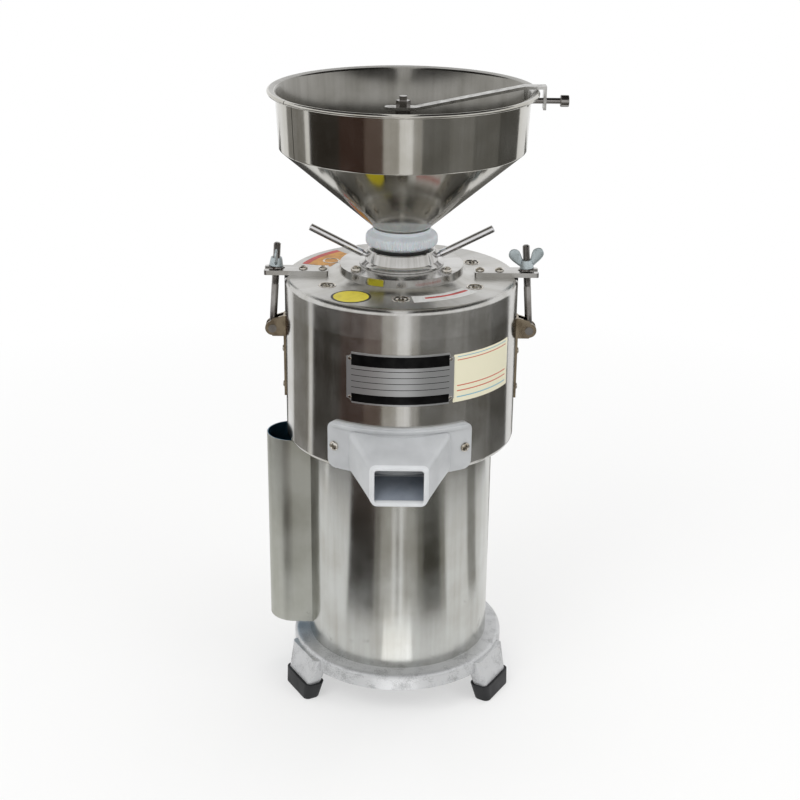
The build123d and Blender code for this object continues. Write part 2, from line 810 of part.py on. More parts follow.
with BuildPart() as stone_sleeve:
    turn(
        (sleeve_bore_radius, upper_stone_top), (sleeve_flange_radius, upper_stone_top),
        (sleeve_flange_radius, sleeve_flange_top), (sleeve_radius, sleeve_flange_top),
        (sleeve_radius, sleeve_top), (sleeve_bore_radius, sleeve_top),
    )
    with BuildSketch(Plane.XY.offset(sleeve_flange_top)):
        with PolarLocations((key_inner_radius + key_outer_radius) / 2, key_count):
            Rectangle(key_outer_radius - key_inner_radius, key_width)
    extrude(amount=key_height)
save(stone_sleeve.part, "stone_sleeve")

# Lid with its raised boss
lid_inner_radius = housing_radius - lid_wall
lid_plate_bottom = lid_top - lid_plate
lid_bore = dial_spigot_radius + seat_gap
with BuildPart() as lid:
    with BuildSketch(Plane.XZ):
        with BuildLine():
            Polyline((lid_bore, dial_bottom), (lid_bore, lid_plate_bottom),
                     (lid_inner_radius, lid_plate_bottom),
                     (lid_inner_radius, housing_top), (housing_radius, housing_top),
                     (housing_radius, lid_top - lid_round))
            RadiusArc((housing_radius, lid_top - lid_round), (housing_radius - lid_round, lid_top),
                      -lid_round)
            Line((housing_radius - lid_round, lid_top), (boss_radius, lid_top))
            ThreePointArc(
                (boss_radius, lid_top),
                (boss_radius - boss_side_reach * (boss_radius - dial_radius),
                 lid_top + boss_side_rise * boss_height),
                (dial_radius + boss_step, dial_bottom))
            Line((dial_radius + boss_step, dial_bottom), (lid_bore, dial_bottom))
        make_face()
    revolve(axis=Axis.Z)
    with Locations(Plane.XY.offset(lid_top)):
        with PolarLocations(lid_screw_circle, lid_screw_count, start_angle=-90):
            CounterSinkHole(lid_screw_radius + seat_gap, lid_screw_head_radius + seat_gap, lid_screw_length)
    with BuildSketch(Plane.XY.offset(dial_bottom)):
        with PolarLocations(dial_bolt_circle, dial_bolt_count, start_angle=90):
            Circle(dial_bolt_radius + seat_gap)
    extrude(amount=-(dial_bolt_length - dial_thickness), mode=Mode.SUBTRACT)
    for side in sides.values():
        for place in arm_screw_places:
            rod(Plane.XY.offset(lid_top).move(Location((side * place, 0, 0))), arm_screw_radius + seat_gap,
                -(arm_screw_length - arm_thickness), overcut, mode=Mode.SUBTRACT)
save(lid.part, "lid")

with BuildPart() as lid_screws:
    sink = lid_screw_head_radius - lid_screw_radius
    for number in range(lid_screw_count):
        turned = radians(number * 360 / lid_screw_count - 90)
        here = Plane(origin=(lid_screw_circle * cos(turned), lid_screw_circle * sin(turned), lid_top))
        rod(here, lid_screw_radius, -lid_screw_length, 0)
        with BuildSketch(here):
            Circle(lid_screw_head_radius)
        with BuildSketch(here.offset(-sink)):
            Circle(lid_screw_radius)
        loft()
        with BuildSketch(here):
            Rectangle(lid_screw_head_radius, lid_screw_recess)
            Rectangle(lid_screw_recess, lid_screw_head_radius)
        extrude(amount=-lid_screw_recess_depth, mode=Mode.SUBTRACT)
save(lid_screws.part, "lid_screws")

# Adjusting flange with the keyways that stop the sleeve from turning
collar_spigot_bottom = spigot_bottom + key_height
with BuildPart() as adjusting_flange:
    turn(
        (spigot_throat_radius, spigot_bottom), (dial_spigot_radius, spigot_bottom),
        (dial_spigot_radius, dial_bottom), (dial_radius, dial_bottom), (dial_radius, dial_top),
        (collar_spigot_radius + running, dial_top),
        (collar_spigot_radius + running, collar_spigot_bottom - free_gap),
        (spigot_throat_radius, collar_spigot_bottom - free_gap),
    )
    with BuildSketch(Plane.XY.offset(spigot_bottom)):
        with PolarLocations((key_inner_radius + key_outer_radius) / 2, key_count):
            Rectangle(key_outer_radius - key_inner_radius + 2 * free_gap, key_width + 2 * free_gap)
    extrude(amount=collar_spigot_bottom - spigot_bottom - free_gap, mode=Mode.SUBTRACT)
    with BuildSketch(Plane.XY.offset(dial_top)):
        with PolarLocations(dial_bolt_circle, dial_bolt_count, start_angle=90):
            Circle(dial_bolt_radius + seat_gap)
    extrude(amount=-dial_thickness, mode=Mode.SUBTRACT)
    lock = upright(lock_angle, dial_radius, (dial_bottom + dial_top) / 2)
    rod(lock, collar_lock_radius + seat_gap, collar_spigot_radius - dial_radius, overcut, mode=Mode.SUBTRACT)
save(adjusting_flange.part, "adjusting_flange")

with BuildPart() as lock_screw:
    lock_start = collar_spigot_radius + free_gap - dial_radius
    rod(lock, collar_lock_radius, lock_start, lock_start + collar_lock_length)
save(lock_screw.part, "lock_screw")

with BuildPart() as flange_bolts:
    for number in range(dial_bolt_count):
        turned = radians(number * 360 / dial_bolt_count + 90)
        here = Plane(origin=(dial_bolt_circle * cos(turned), dial_bolt_circle * sin(turned), dial_top))
        rod(here, dial_bolt_radius, -dial_bolt_length, 0)
        hex_bar(here, 2 * dial_bolt_head_radius * cos(radians(30)), 0, dial_bolt_head_height)
save(flange_bolts.part, "flange_bolts")

# Adjusting collar, turned by its two handles
handle_slope = degrees(atan2(handle_tip_height - handle_root_height, handle_tip - handle_root))
collar_low = dial_top + free_gap
waist_height = dial_top + collar_waist_rise
neck_bore = neck_radius + free_gap
collar_spigot_low = collar_spigot_bottom


def handle_plane(side):
    """The plane across a handle at its root, with its normal along the handle."""
    slope = radians(handle_slope)
    return Plane(origin=(side * handle_root, 0, handle_root_height), x_dir=(0, 1, 0),
                 z_dir=(side * cos(slope), 0, sin(slope)))


with BuildPart() as adjusting_collar:
    with BuildSketch(Plane.XZ):
        with BuildLine():
            Polyline((collar_waist_radius, waist_height), (collar_top_radius, collar_top - collar_chamfer),
                     (collar_top_radius - collar_chamfer, collar_top), (neck_bore, collar_top),
                     (neck_bore, collar_top - neck_entry - free_gap),
                     (sleeve_radius + running, collar_top - neck_entry - free_gap),
                     (sleeve_radius + running, collar_spigot_low), (collar_spigot_radius, collar_spigot_low),
                     (collar_spigot_radius, collar_low), (collar_foot_radius, collar_low),
                     (collar_foot_radius, collar_low + collar_foot_edge))
            TangentArc((collar_foot_radius, collar_low + collar_foot_edge),
                       (collar_waist_radius, waist_height),
                       tangent=collar_cove_start)
        make_face()
    revolve(axis=Axis.Z)
    for side in sides.values():
        rod(handle_plane(side), handle_stud_radius + seat_gap, -handle_stud_depth, 2 * handle_neck_length,
            mode=Mode.SUBTRACT)
save(adjusting_collar.part, "adjusting_collar")

with BuildPart() as handles:
    handle_length = (handle_tip - handle_root) / cos(radians(handle_slope))
    for side in sides.values():
        grip = handle_plane(side)
        rod(grip, handle_stud_radius, -handle_stud_depth, handle_neck_start)
        rod(grip, handle_neck_radius, handle_neck_start, handle_neck_length)
        with BuildPart(mode=Mode.PRIVATE) as bar:
            rod(grip, handle_radius, handle_neck_length, handle_length)
            ends = bar.edges().filter_by(GeomType.CIRCLE)
            fillet(ends, handle_round)
        add(bar.part)
save(handles.part, "handles")

with BuildPart() as neck_seal:
    turn(*band(neck_bore, neck_seal_radius, collar_top, ring_bottom))
save(neck_seal.part, "neck_seal")

# White coupling ring: it carries the hopper's cone on its lip
cone_slope = (band_foot_radius - cone_foot_radius) / cone_height
cone_seat_radius = cone_foot_radius + free_gap * sqrt(1 + cone_slope ** 2)
with BuildPart() as coupling_ring:
    ring_waist = (ring_bottom + ring_top) / 2
    lip_low = ring_top - ring_lip_height
    with BuildSketch(Plane.XZ):
        with BuildLine():
            Polyline((ring_foot_radius, ring_bottom), (neck_bore, ring_bottom),
                     (neck_bore, cone_bottom + (neck_bore - cone_seat_radius) / cone_slope),
                     (cone_seat_radius, ring_top), (ring_lip_radius, ring_top),
                     (ring_lip_radius, lip_low))
            Spline((ring_lip_radius, lip_low), (ring_radius, ring_waist), (ring_foot_radius, ring_bottom),
                   tangents=(ring_upper_flank, ring_lower_flank))
        make_face()
    revolve(axis=Axis.Z)
save(coupling_ring.part, "coupling_ring")

# Hopper: a cone with its neck, and a rolled band with a thick rim welded onto the cone
neck_bottom = collar_top - neck_depth
neck_top = cone_bottom - (cone_foot_radius - neck_radius) / cone_slope
with BuildPart() as hopper_cone:
    turn(
        (neck_radius, neck_bottom), (neck_radius, neck_top), (band_foot_radius, band_bottom),
        (band_foot_radius - hopper_sheet, band_bottom), (neck_radius - hopper_sheet, neck_top),
        (neck_radius - hopper_sheet, neck_bottom),
    )
save(hopper_cone.part, "hopper_cone")

with BuildPart() as hopper_band:
    turn(
        (band_foot_radius - hopper_sheet, band_bottom), (band_foot_radius, band_bottom),
        (band_top_radius, rim_height - rim_thickness), (rim_radius, rim_height - rim_thickness),
        (rim_radius, rim_height), (band_top_radius - hopper_sheet, rim_height),
    )
    rim_edges = hopper_band.edges().filter_by(GeomType.CIRCLE).sort_by(SortBy.RADIUS)[-2:]
    fillet(rim_edges, rim_thickness * edge_share)
save(hopper_band.part, "hopper_band")

# Cross strip: it hooks over the rim and carries the feed rod in the middle
saddle_top = rim_height + strip_above_rim + strip_thickness
inner_leg = band_top_radius - hopper_sheet - saddle_inside - strip_thickness
outer_leg = rim_radius + saddle_outside
with BuildPart() as cross_strip:
    with BuildSketch(Plane.XZ):
        with BuildLine():
            Polyline(
                (-strip_end, strip_height), (strip_flat, strip_height),
                (inner_leg, saddle_top - strip_thickness),
                (inner_leg, rim_height - saddle_drop),
                (inner_leg + strip_thickness, rim_height - saddle_drop),
                (inner_leg + strip_thickness, saddle_top - strip_thickness),
                (outer_leg, saddle_top - strip_thickness), (outer_leg, rim_height - saddle_drop),
                (outer_leg + strip_thickness, rim_height - saddle_drop),
                (outer_leg + strip_thickness, saddle_top),
                (inner_leg, saddle_top), (strip_flat, strip_top), (-strip_end, strip_top), close=True)
        make_face()
    extrude(amount=strip_width / 2, both=True)
    fillet(cross_strip.edges().filter_by(Axis.Z).sort_by(Axis.X)[:2], strip_width * edge_share)
    rod(Plane.XY, rod_radius + seat_gap, strip_height - overcut, strip_top + overcut, mode=Mode.SUBTRACT)
    thumb = Plane(origin=(outer_leg + strip_thickness, 0, thumb_height), x_dir=(0, 1, 0), z_dir=(1, 0, 0))
    rod(thumb, thumb_radius + running, -strip_thickness - overcut, overcut, mode=Mode.SUBTRACT)
save(cross_strip.part, "cross_strip")

with BuildPart() as feed_rod:
    rod(Plane.XY, rod_radius, rod_bottom, rod_top)
    hex_bar(Plane.XY, rod_nut_flats, strip_top, strip_top + rod_nut_height)
    hex_bar(Plane.XY, rod_nut_flats, strip_height - rod_nut_height, strip_height)
    with BuildSketch(Plane.XZ.offset(-rod_radius / 2)):
        with Locations((0, band_bottom - rod_toe_length), (0, cone_bottom + rod_toe_length)):
            SlotOverall(2 * rod_toe_length, rod_radius)
    extrude(amount=rod_radius)
save(feed_rod.part, "feed_rod")

# Thumb screw that holds the strip on the rim
band_flare = (band_top_radius - band_foot_radius) / band_height
band_face = band_foot_radius + band_flare * (thumb_height - band_bottom)
with BuildPart() as thumb_screw:
    tip = band_face + free_gap - outer_leg - strip_thickness
    head_start = thumb_reach - outer_leg - strip_thickness - thumb_head_width
    rod(thumb, thumb_radius, tip, head_start)
    with BuildPart(mode=Mode.PRIVATE) as knob:
        rod(thumb, thumb_head_radius, head_start, head_start + thumb_head_width)
        fillet(knob.edges().filter_by(GeomType.CIRCLE), handle_round)
    add(knob.part)
save(thumb_screw.part, "thumb_screw")


def swing_plane(side):
    """The plane across a swing bolt at its pivot, with its normal along the leaning bolt."""
    lean = radians(bolt_lean)
    return Plane(origin=(side * pivot_reach, 0, pivot_height), x_dir=(cos(lean), 0, side * sin(lean)),
                 z_dir=(-side * sin(lean), 0, cos(lean)))


pivot_axis_plane = {side: Plane(origin=(side * pivot_reach, 0, pivot_height), x_dir=(side, 0, 0),
                                z_dir=(0, -side, 0)) for side in sides.values()}

for name, side in sides.items():
    with BuildPart() as clamp_arm:
        with BuildSketch(Plane.XY.offset(lid_top)):
            with Locations((side * (arm_start + arm_end) / 2, 0)):
                RectangleRounded(arm_end - arm_start, arm_width, arm_thickness / 2)
            with Locations((side * (slot_start + arm_end + slot_width) / 2, 0)):
                SlotOverall(arm_end + slot_width - slot_start + slot_width / 2, slot_width,
                            mode=Mode.SUBTRACT)
            with Locations(*[(side * place, 0) for place in arm_screw_places]):
                Circle(arm_screw_radius + seat_gap, mode=Mode.SUBTRACT)
        extrude(amount=arm_thickness)
    save(clamp_arm.part, f"clamp_arm_{name}")

    with BuildPart() as clevis:
        with BuildSketch(Plane.XY.offset(strap_bottom)):
            Circle(housing_radius + strap_thickness)
            Circle(housing_radius, mode=Mode.SUBTRACT)
            with Locations((side * housing_radius, 0)):
                Rectangle(housing_radius, strap_width, mode=Mode.INTERSECT)
        extrude(amount=ear_high - strap_bottom)
        for offset in (bolt_eye_width / 2 + free_gap, -bolt_eye_width / 2 - free_gap - ear_thickness):
            ear_plane = Plane(origin=(0, offset, 0), x_dir=(1, 0, 0), z_dir=(0, -1, 0))
            with BuildSketch(ear_plane.offset(-ear_thickness)):
                with BuildLine():
                    Polyline((side * (housing_radius + strap_thickness / 2), ear_low),
                             (side * pivot_reach, ear_low),
                             (side * (pivot_reach + ear_round), pivot_height),
                             (side * pivot_reach, ear_high - ear_round / 2),
                             (side * (housing_radius + strap_thickness / 2), ear_high), close=True)
                make_face()
                with Locations((side * pivot_reach, pivot_height)):
                    Circle(ear_round)
            extrude(amount=ear_thickness)
        pin_plane = pivot_axis_plane[side]
        rod(pin_plane, pin_radius + seat_gap, -strap_width, strap_width, mode=Mode.SUBTRACT)
        for height in rivet_heights:
            rod(Plane(origin=(side * housing_radius, 0, height), z_dir=(side, 0, 0)),
                rivet_radius + seat_gap, -overcut, strap_thickness + overcut, mode=Mode.SUBTRACT)
    save(clevis.part, f"clevis_{name}")

    swing = swing_plane(side)
    with BuildPart() as swing_bolt:
        rod(swing, bolt_radius, 0, bolt_length)
        fillet(swing_bolt.edges().filter_by(GeomType.CIRCLE).sort_by(Axis(swing.origin, swing.z_dir))[-1],
               handle_round)
        rod(pin_plane, bolt_eye_radius, -bolt_eye_width / 2, bolt_eye_width / 2)
        rod(pin_plane, pin_radius + running, -bolt_eye_width, bolt_eye_width, mode=Mode.SUBTRACT)
    save(swing_bolt.part, f"swing_bolt_{name}")

    with BuildPart() as washer:
        rod(swing, washer_radius, washer_place, washer_place + washer_thickness)
        rod(swing, bolt_radius + seat_gap, washer_place - overcut, washer_place + washer_thickness + overcut,
            mode=Mode.SUBTRACT)
    save(washer.part, f"washer_{name}")

    nut_low = washer_place + washer_thickness + running
    across = swing.x_dir if side > 0 else Vector(0, 1, 0)
    wing_face = Plane(origin=swing.origin + swing.z_dir * nut_low, x_dir=across,
                      z_dir=across.cross(swing.z_dir))
    wing_reach = wing_span / 2 - wing_tip_radius
    with BuildPart() as wing_nut:
        with BuildSketch(swing.offset(nut_low)):
            Circle(wing_base_radius)
        extrude(amount=wing_base_height, taper=wing_base_taper)
        with BuildSketch(wing_face.offset(-wing_thickness / 2)):
            for way in (-1, 1):
                with BuildLine():
                    Polyline((0, 0), (way * wing_base_radius, wing_thickness / 2),
                             (way * wing_span / 2, wing_height - wing_tip_radius),
                             (way * (wing_reach - wing_tip_radius), wing_height - wing_tip_radius),
                             (0, wing_valley), close=True)
                make_face()
                with Locations((way * wing_reach, wing_height - wing_tip_radius)):
                    Circle(wing_tip_radius)
        extrude(amount=wing_thickness)
        rod(swing, bolt_radius + running, nut_low - overcut, nut_low + wing_height, mode=Mode.SUBTRACT)
    save(wing_nut.part, f"wing_nut_{name}")

with BuildPart() as clevis_pins:
    for side in sides.values():
        pin_plane = pivot_axis_plane[side]
        grip_half = bolt_eye_width / 2 + free_gap + ear_thickness
        rod(pin_plane, pin_radius, -grip_half, grip_half)
        rod(pin_plane, pin_head_radius, grip_half, grip_half + pin_head_width)
        rod(pin_plane, pin_head_radius, -grip_half - pin_head_width, -grip_half)
save(clevis_pins.part, "clevis_pins")

with BuildPart() as clevis_rivets:
    for side in sides.values():
        for height in rivet_heights:
            here = Plane(origin=(side * (housing_radius + strap_thickness), 0, height), z_dir=(side, 0, 0))
            rod(here, rivet_radius, -strap_thickness - rivet_depth, 0)
            round_head(here, rivet_head_radius, rivet_head_height)
save(clevis_rivets.part, "clevis_rivets")

with BuildPart() as arm_screws:
    for side in sides.values():
        for place in arm_screw_places:
            here = Plane(origin=(side * place, 0, lid_top + arm_thickness))
            rod(here, arm_screw_radius, -arm_screw_length, 0)
            round_head(here, arm_screw_head_radius, arm_screw_head_height)
save(arm_screws.part, "arm_screws")

# Small pads that fill the rounded edge of the lid under each arm
with BuildPart() as arm_pads:
    for side in sides.values():
        with BuildSketch(Plane.XY.offset(lid_top - pad_drop)):
            Circle(housing_radius)
            Circle(housing_radius - lid_round, mode=Mode.SUBTRACT)
            with Locations((side * housing_radius, 0)):
                Rectangle(housing_radius, pad_width, mode=Mode.INTERSECT)
        extrude(amount=pad_drop)
    add(lid.part, mode=Mode.SUBTRACT)
save(arm_pads.part, "arm_pads")

# Discharge spout: a curved flange and a chute that narrows to the mouth
with BuildPart() as discharge_spout:
    with BuildSketch(front_wall):
        with Locations((0, (flange_low + flange_high) / 2)):
            RectangleRounded(2 * flange_half_width, flange_high - flange_low, flange_round)
    extrude(amount=housing_radius + 2 * flange_thickness)
    turn(*band(housing_radius, housing_radius + flange_thickness, flange_low, flange_high),
         mode=Mode.INTERSECT)
    for inset, mode in ((0, Mode.ADD), (mouth_wall, Mode.SUBTRACT)):
        with BuildSketch(front_wall.offset(chute_start - inset)):
            with Locations((0, (chute_low + chute_high) / 2)):
                RectangleRounded(2 * (chute_half_width - inset), chute_high - chute_low - 2 * inset,
                                 mouth_round)
        with BuildSketch(front_wall.offset(mouth_reach + inset)):
            with Locations((0, (mouth_low + mouth_high) / 2)):
                RectangleRounded(2 * (mouth_half_width - inset), mouth_high - mouth_low - 2 * inset,
                                 mouth_round - inset / 2)
        loft(mode=mode)
    turn(*band(0, housing_radius, mouth_low, flange_high), mode=Mode.SUBTRACT)
    for angle in spout_screw_angles:
        rod(upright(angle, housing_radius, spout_screw_height), spout_screw_radius + seat_gap,
            -flange_thickness, 2 * flange_thickness, mode=Mode.SUBTRACT)
save(discharge_spout.part, "discharge_spout")

with BuildPart() as spout_screws:
    for angle in spout_screw_angles:
        here = upright(angle, housing_radius + flange_thickness, spout_screw_height)
        rod(here, spout_screw_radius, -spout_screw_length, 0)
        round_head(here, spout_screw_head_radius, spout_screw_head_height)
save(spout_screws.part, "spout_screws")

# Blank data plate bent round the drum, with notched corners and four rivets
plate_middle = (plate_low + plate_high) / 2
with BuildPart() as data_plate:
    with BuildSketch(front_wall):
        with Locations((0, plate_middle)):
            Rectangle(plate_width, plate_high - plate_low)
            with GridLocations(plate_width, plate_high - plate_low, 2, 2):
                Circle(plate_notch, mode=Mode.SUBTRACT)
    extrude(amount=housing_radius + plate_width)
    turn(*band(housing_radius + seat_gap, housing_radius + plate_thickness, plate_low, plate_high),
         mode=Mode.INTERSECT)
    for angle in plate_rivet_angles:
        for height in plate_rivet_heights:
            rod(upright(angle, housing_radius, height), plate_rivet_radius + seat_gap, -overcut,
                plate_thickness + overcut, mode=Mode.SUBTRACT)
save(data_plate.part, "data_plate")

with BuildPart() as plate_rivets:
    for angle in plate_rivet_angles:
        for height in plate_rivet_heights:
            here = upright(angle, housing_radius + plate_thickness, height)
            rod(here, plate_rivet_radius, -plate_thickness - plate_rivet_depth, 0)
            round_head(here, plate_rivet_head_radius, plate_rivet_head_height)
save(plate_rivets.part, "plate_rivets")

# Side box: a bent sheet open at the top, with the capacitor standing in it
switch_wall = Plane(origin=(switch_place, box_radius, switch_height), x_dir=(-1, 0, 0), z_dir=(0, 1, 0))
with BuildPart() as side_box:
    for radius, low, mode in ((box_radius, box_low, Mode.ADD),
                              (box_radius - sheet, box_low + sheet, Mode.SUBTRACT)):
        with BuildSketch(Plane.XY.offset(low)):
            with Locations((-box_centre, 0)):
                Circle(radius)
            with Locations((-box_centre / 2, 0)):
                Rectangle(box_centre, 2 * radius)
        extrude(amount=box_high - low, mode=mode)
    turn(*band(0, shell_radius, box_low, box_high), mode=Mode.SUBTRACT)
    with BuildSketch(switch_wall):
        Rectangle(switch_body_width + 2 * seat_gap, switch_body_height + 2 * seat_gap)
    extrude(amount=-2 * sheet, mode=Mode.SUBTRACT)
save(side_box.part, "side_box")

with BuildPart() as capacitor:
    with BuildSketch(Plane.XY.offset(box_low + sheet)):
        with Locations((-capacitor_reach, 0)):
            Circle(capacitor_radius)
    extrude(amount=capacitor_height)
    fillet(capacitor.edges().filter_by(GeomType.CIRCLE), handle_round)
    with BuildSketch(Plane.XY.offset(box_low + sheet + capacitor_height)):
        with Locations((-capacitor_reach, 0)):
            with GridLocations(0, terminal_spacing, 1, 2):
                Circle(terminal_radius)
    extrude(amount=terminal_height)
save(capacitor.part, "capacitor")

# Rocker switch on the back wall of the side box
rocker_axis = Plane(origin=(switch_place, box_radius - rocker_axle_depth, switch_height), x_dir=(0, 1, 0),
                    z_dir=(1, 0, 0))
with BuildPart() as switch_body:
    with BuildSketch(switch_wall):
        RectangleRounded(bezel_width, bezel_height, bezel_round)
    extrude(amount=bezel_thickness)
    with BuildSketch(switch_wall):
        Rectangle(switch_body_width, switch_body_height)
    extrude(amount=-switch_body_depth)
    with BuildSketch(switch_wall.offset(bezel_thickness)):
        Rectangle(rocker_width + 2 * free_gap, 2 * (rocker_swing + free_gap))
    extrude(amount=-rocker_pocket_depth - bezel_thickness, mode=Mode.SUBTRACT)
    rod(rocker_axis, rocker_pin_radius + running, -rocker_width / 2 - pin_end - free_gap,
        rocker_width / 2 + pin_end + free_gap, mode=Mode.SUBTRACT)
save(switch_body.part, "switch_body")

with BuildPart() as switch_rocker:
    with BuildSketch(rocker_axis.offset(-rocker_width / 2)):
        with BuildLine():
            Polyline((-rocker_root, -rocker_half / 2), (rocker_crown, -rocker_half),
                     (rocker_crown + rocker_dip, 0), (rocker_proud, rocker_half),
                     (-rocker_root, rocker_half / 2), close=True)
        make_face()
    extrude(amount=rocker_width)
    rod(rocker_axis, rocker_pin_radius, -rocker_width / 2 - pin_end, rocker_width / 2 + pin_end)
save(switch_rocker.part, "switch_rocker")
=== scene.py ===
"""Looks of an upright nut butter mill: smooth sheet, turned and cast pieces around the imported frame.

Metres, +Z up, the spout faces -Y and the side box stands on -X, as in the frame.
"""

import math

import bmesh
import bpy
import numpy as np
from bpy.props import FloatProperty, FloatVectorProperty, IntProperty, PointerProperty
from mathutils import Matrix, Vector


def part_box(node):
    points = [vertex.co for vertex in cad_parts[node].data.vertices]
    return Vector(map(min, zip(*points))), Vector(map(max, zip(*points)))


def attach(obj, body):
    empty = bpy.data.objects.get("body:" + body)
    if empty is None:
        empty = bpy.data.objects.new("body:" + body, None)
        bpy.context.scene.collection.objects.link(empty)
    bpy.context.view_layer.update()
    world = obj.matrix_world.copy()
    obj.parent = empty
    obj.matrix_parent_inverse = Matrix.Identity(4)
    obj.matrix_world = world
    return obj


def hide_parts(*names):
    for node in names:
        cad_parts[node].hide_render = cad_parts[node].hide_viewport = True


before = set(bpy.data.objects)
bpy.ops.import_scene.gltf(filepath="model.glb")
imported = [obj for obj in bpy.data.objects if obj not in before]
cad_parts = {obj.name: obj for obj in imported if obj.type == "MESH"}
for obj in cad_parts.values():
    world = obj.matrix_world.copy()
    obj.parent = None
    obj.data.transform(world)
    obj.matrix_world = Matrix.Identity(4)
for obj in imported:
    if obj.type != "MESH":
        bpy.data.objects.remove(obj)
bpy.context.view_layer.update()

bl_info = {
    "name": "Nut butter mill",
    "version": (1, 0, 0),
    "blender": (4, 5, 0),
    "location": "View3D > Sidebar > Mill",
    "description": "Builds the dressed pieces, finishes and stage of an upright nut butter mill",
    "category": "Object",
}

MM = 0.001

# Places on the mill, from the frame where a box gives them

DRUM_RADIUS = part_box("mill_housing")[1].y
DIAL_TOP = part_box("adjusting_flange")[1].z
LID_TOP = 479 * MM
ARM_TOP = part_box("clamp_arm_left")[1].z
PIVOT_REACH, PIVOT_HEIGHT = 138.8 * MM, 418 * MM
BOLT_LEAN = math.radians(4)
# the bolt's length from its pivot, and how far up it the nut's foot sits
BOLT_LENGTH, NUT_FOOT = 94.4 * MM, 68.87 * MM
FLANGE_THICKNESS = 4 * MM
# the drum label's middle, as an angle from the front and a height, and its half height
LABEL_ANGLE, LABEL_HEIGHT, LABEL_HALF = math.radians(44.7), 402 * MM, 26 * MM


# Colour and node helpers


def linear(code):
    """One sRGB hex colour as linear red, green, blue and full alpha. A linear colour passes as it is."""
    if not isinstance(code, str):
        return list(code)
    parts = [int(code[i:i + 2], 16) / 255 for i in (1, 3, 5)]
    return [p / 12.92 if p <= 0.04045 else ((p + 0.055) / 1.055) ** 2.4 for p in parts] + [1.0]


def live(sockets, key=0):
    """A socket by its name, or by its place among those that the node's settings leave in use."""
    shown = [socket for socket in sockets if socket.enabled]
    return shown[key] if isinstance(key, int) else next(s for s in shown if s.name == key)


def add_node(owner, kind, inputs=None, stops=None, into=None, **settings):
    """Adds one node to a material or world, with its settings and links.

    An input is a number, a colour, or the node or socket to link from. stops are the (place, colour)
    pairs of a colour ramp, and into is the socket that the node's first output feeds.
    """
    node = owner.node_tree.nodes.new(kind)
    for key, value in settings.items():
        setattr(node, key, value)
    if stops:
        while len(node.color_ramp.elements) < len(stops):
            node.color_ramp.elements.new(0.5)
        for element, (spot, colour) in zip(node.color_ramp.elements, stops):
            element.position, element.color = spot, linear(colour)
    for key, value in (inputs or {}).items():
        socket = live(node.inputs, key)
        if isinstance(value, bpy.types.Node):
            value = live(value.outputs)
        if isinstance(value, bpy.types.NodeSocket):
            owner.node_tree.links.new(value, socket)
        else:
            socket.default_value = linear(value) if isinstance(value, str) else value
    if into is not None:
        owner.node_tree.links.new(live(node.outputs), into)
    return node


def new_material(name, colour, metallic=0.0, roughness=0.5, **sockets):
    """A material with one Principled shader, its constants on the shader's own sockets."""
    material = bpy.data.materials.new(name)
    material.use_nodes = True
    shader = material.node_tree.nodes["Principled BSDF"]
    shader.inputs["Base Color"].default_value = linear(colour)
    shader.inputs["Metallic"].default_value = metallic
    shader.inputs["Roughness"].default_value = roughness
    for key, value in sockets.items():
        shader.inputs[key.replace("_", " ")].default_value = value
    return material, shader


def spot_on(material):
    """The place on the object in metres, its height, and the angle round the mill in turns, 0 in front."""
    spot = add_node(material, "ShaderNodeTexCoord").outputs["Object"]
    split = add_node(material, "ShaderNodeSeparateXYZ", {0: spot})
    front = add_node(material, "ShaderNodeMath", {0: split.outputs["Y"], 1: -1.0}, operation="MULTIPLY")
    angle = add_node(material, "ShaderNodeMath", {0: split.outputs["X"], 1: front}, operation="ARCTAN2")
    turn = add_node(material, "ShaderNodeMath", {0: angle, 1: math.tau}, operation="DIVIDE")
    return spot, split.outputs["Z"], turn


# Surfaces from numpy grids


def skin(name, points, around=(True, True), crease=35.0):
    """A mesh from a grid of points: each cell of the grid becomes one face.

    A direction that goes around joins its last row to its first. Rows that meet in one point
    close a pole, since doubled points are merged. The normals are then turned outwards, and
    edges that turn by more than the crease angle in degrees stay sharp.
    """
    rows, columns = points.shape[:2]
    i, j = np.meshgrid(np.arange(rows if around[0] else rows - 1),
                       np.arange(columns if around[1] else columns - 1), indexing="ij")
    i, j = i.ravel(), j.ravel()
    after_i, after_j = (i + 1) % rows, (j + 1) % columns
    quads = np.stack([i * columns + j, after_i * columns + j, after_i * columns + after_j,
                      i * columns + after_j], 1)
    mesh = bpy.data.meshes.new(name)
    mesh.from_pydata(points.reshape(-1, 3), [], quads)
    tidy = bmesh.new()
    tidy.from_mesh(mesh)
    bmesh.ops.remove_doubles(tidy, verts=tidy.verts, dist=1e-7)
    bmesh.ops.recalc_face_normals(tidy, faces=tidy.faces)
    tidy.to_mesh(mesh)
    tidy.free()
    mesh.shade_smooth()
    mesh.set_sharp_from_angle(angle=math.radians(crease))
    piece = bpy.data.objects.new(name, mesh)
    bpy.context.scene.collection.objects.link(piece)
    return piece


def merged(name, pieces):
    """One object from several closed skins."""
    whole = bmesh.new()
    for piece in pieces:
        whole.from_mesh(piece.data)
    mesh = bpy.data.meshes.new(name)
    whole.to_mesh(mesh)
    whole.free()
    for piece in pieces:
        old = piece.data
        bpy.data.objects.remove(piece)
        bpy.data.meshes.remove(old)
    piece = bpy.data.objects.new(name, mesh)
    bpy.context.scene.collection.objects.link(piece)
    return piece


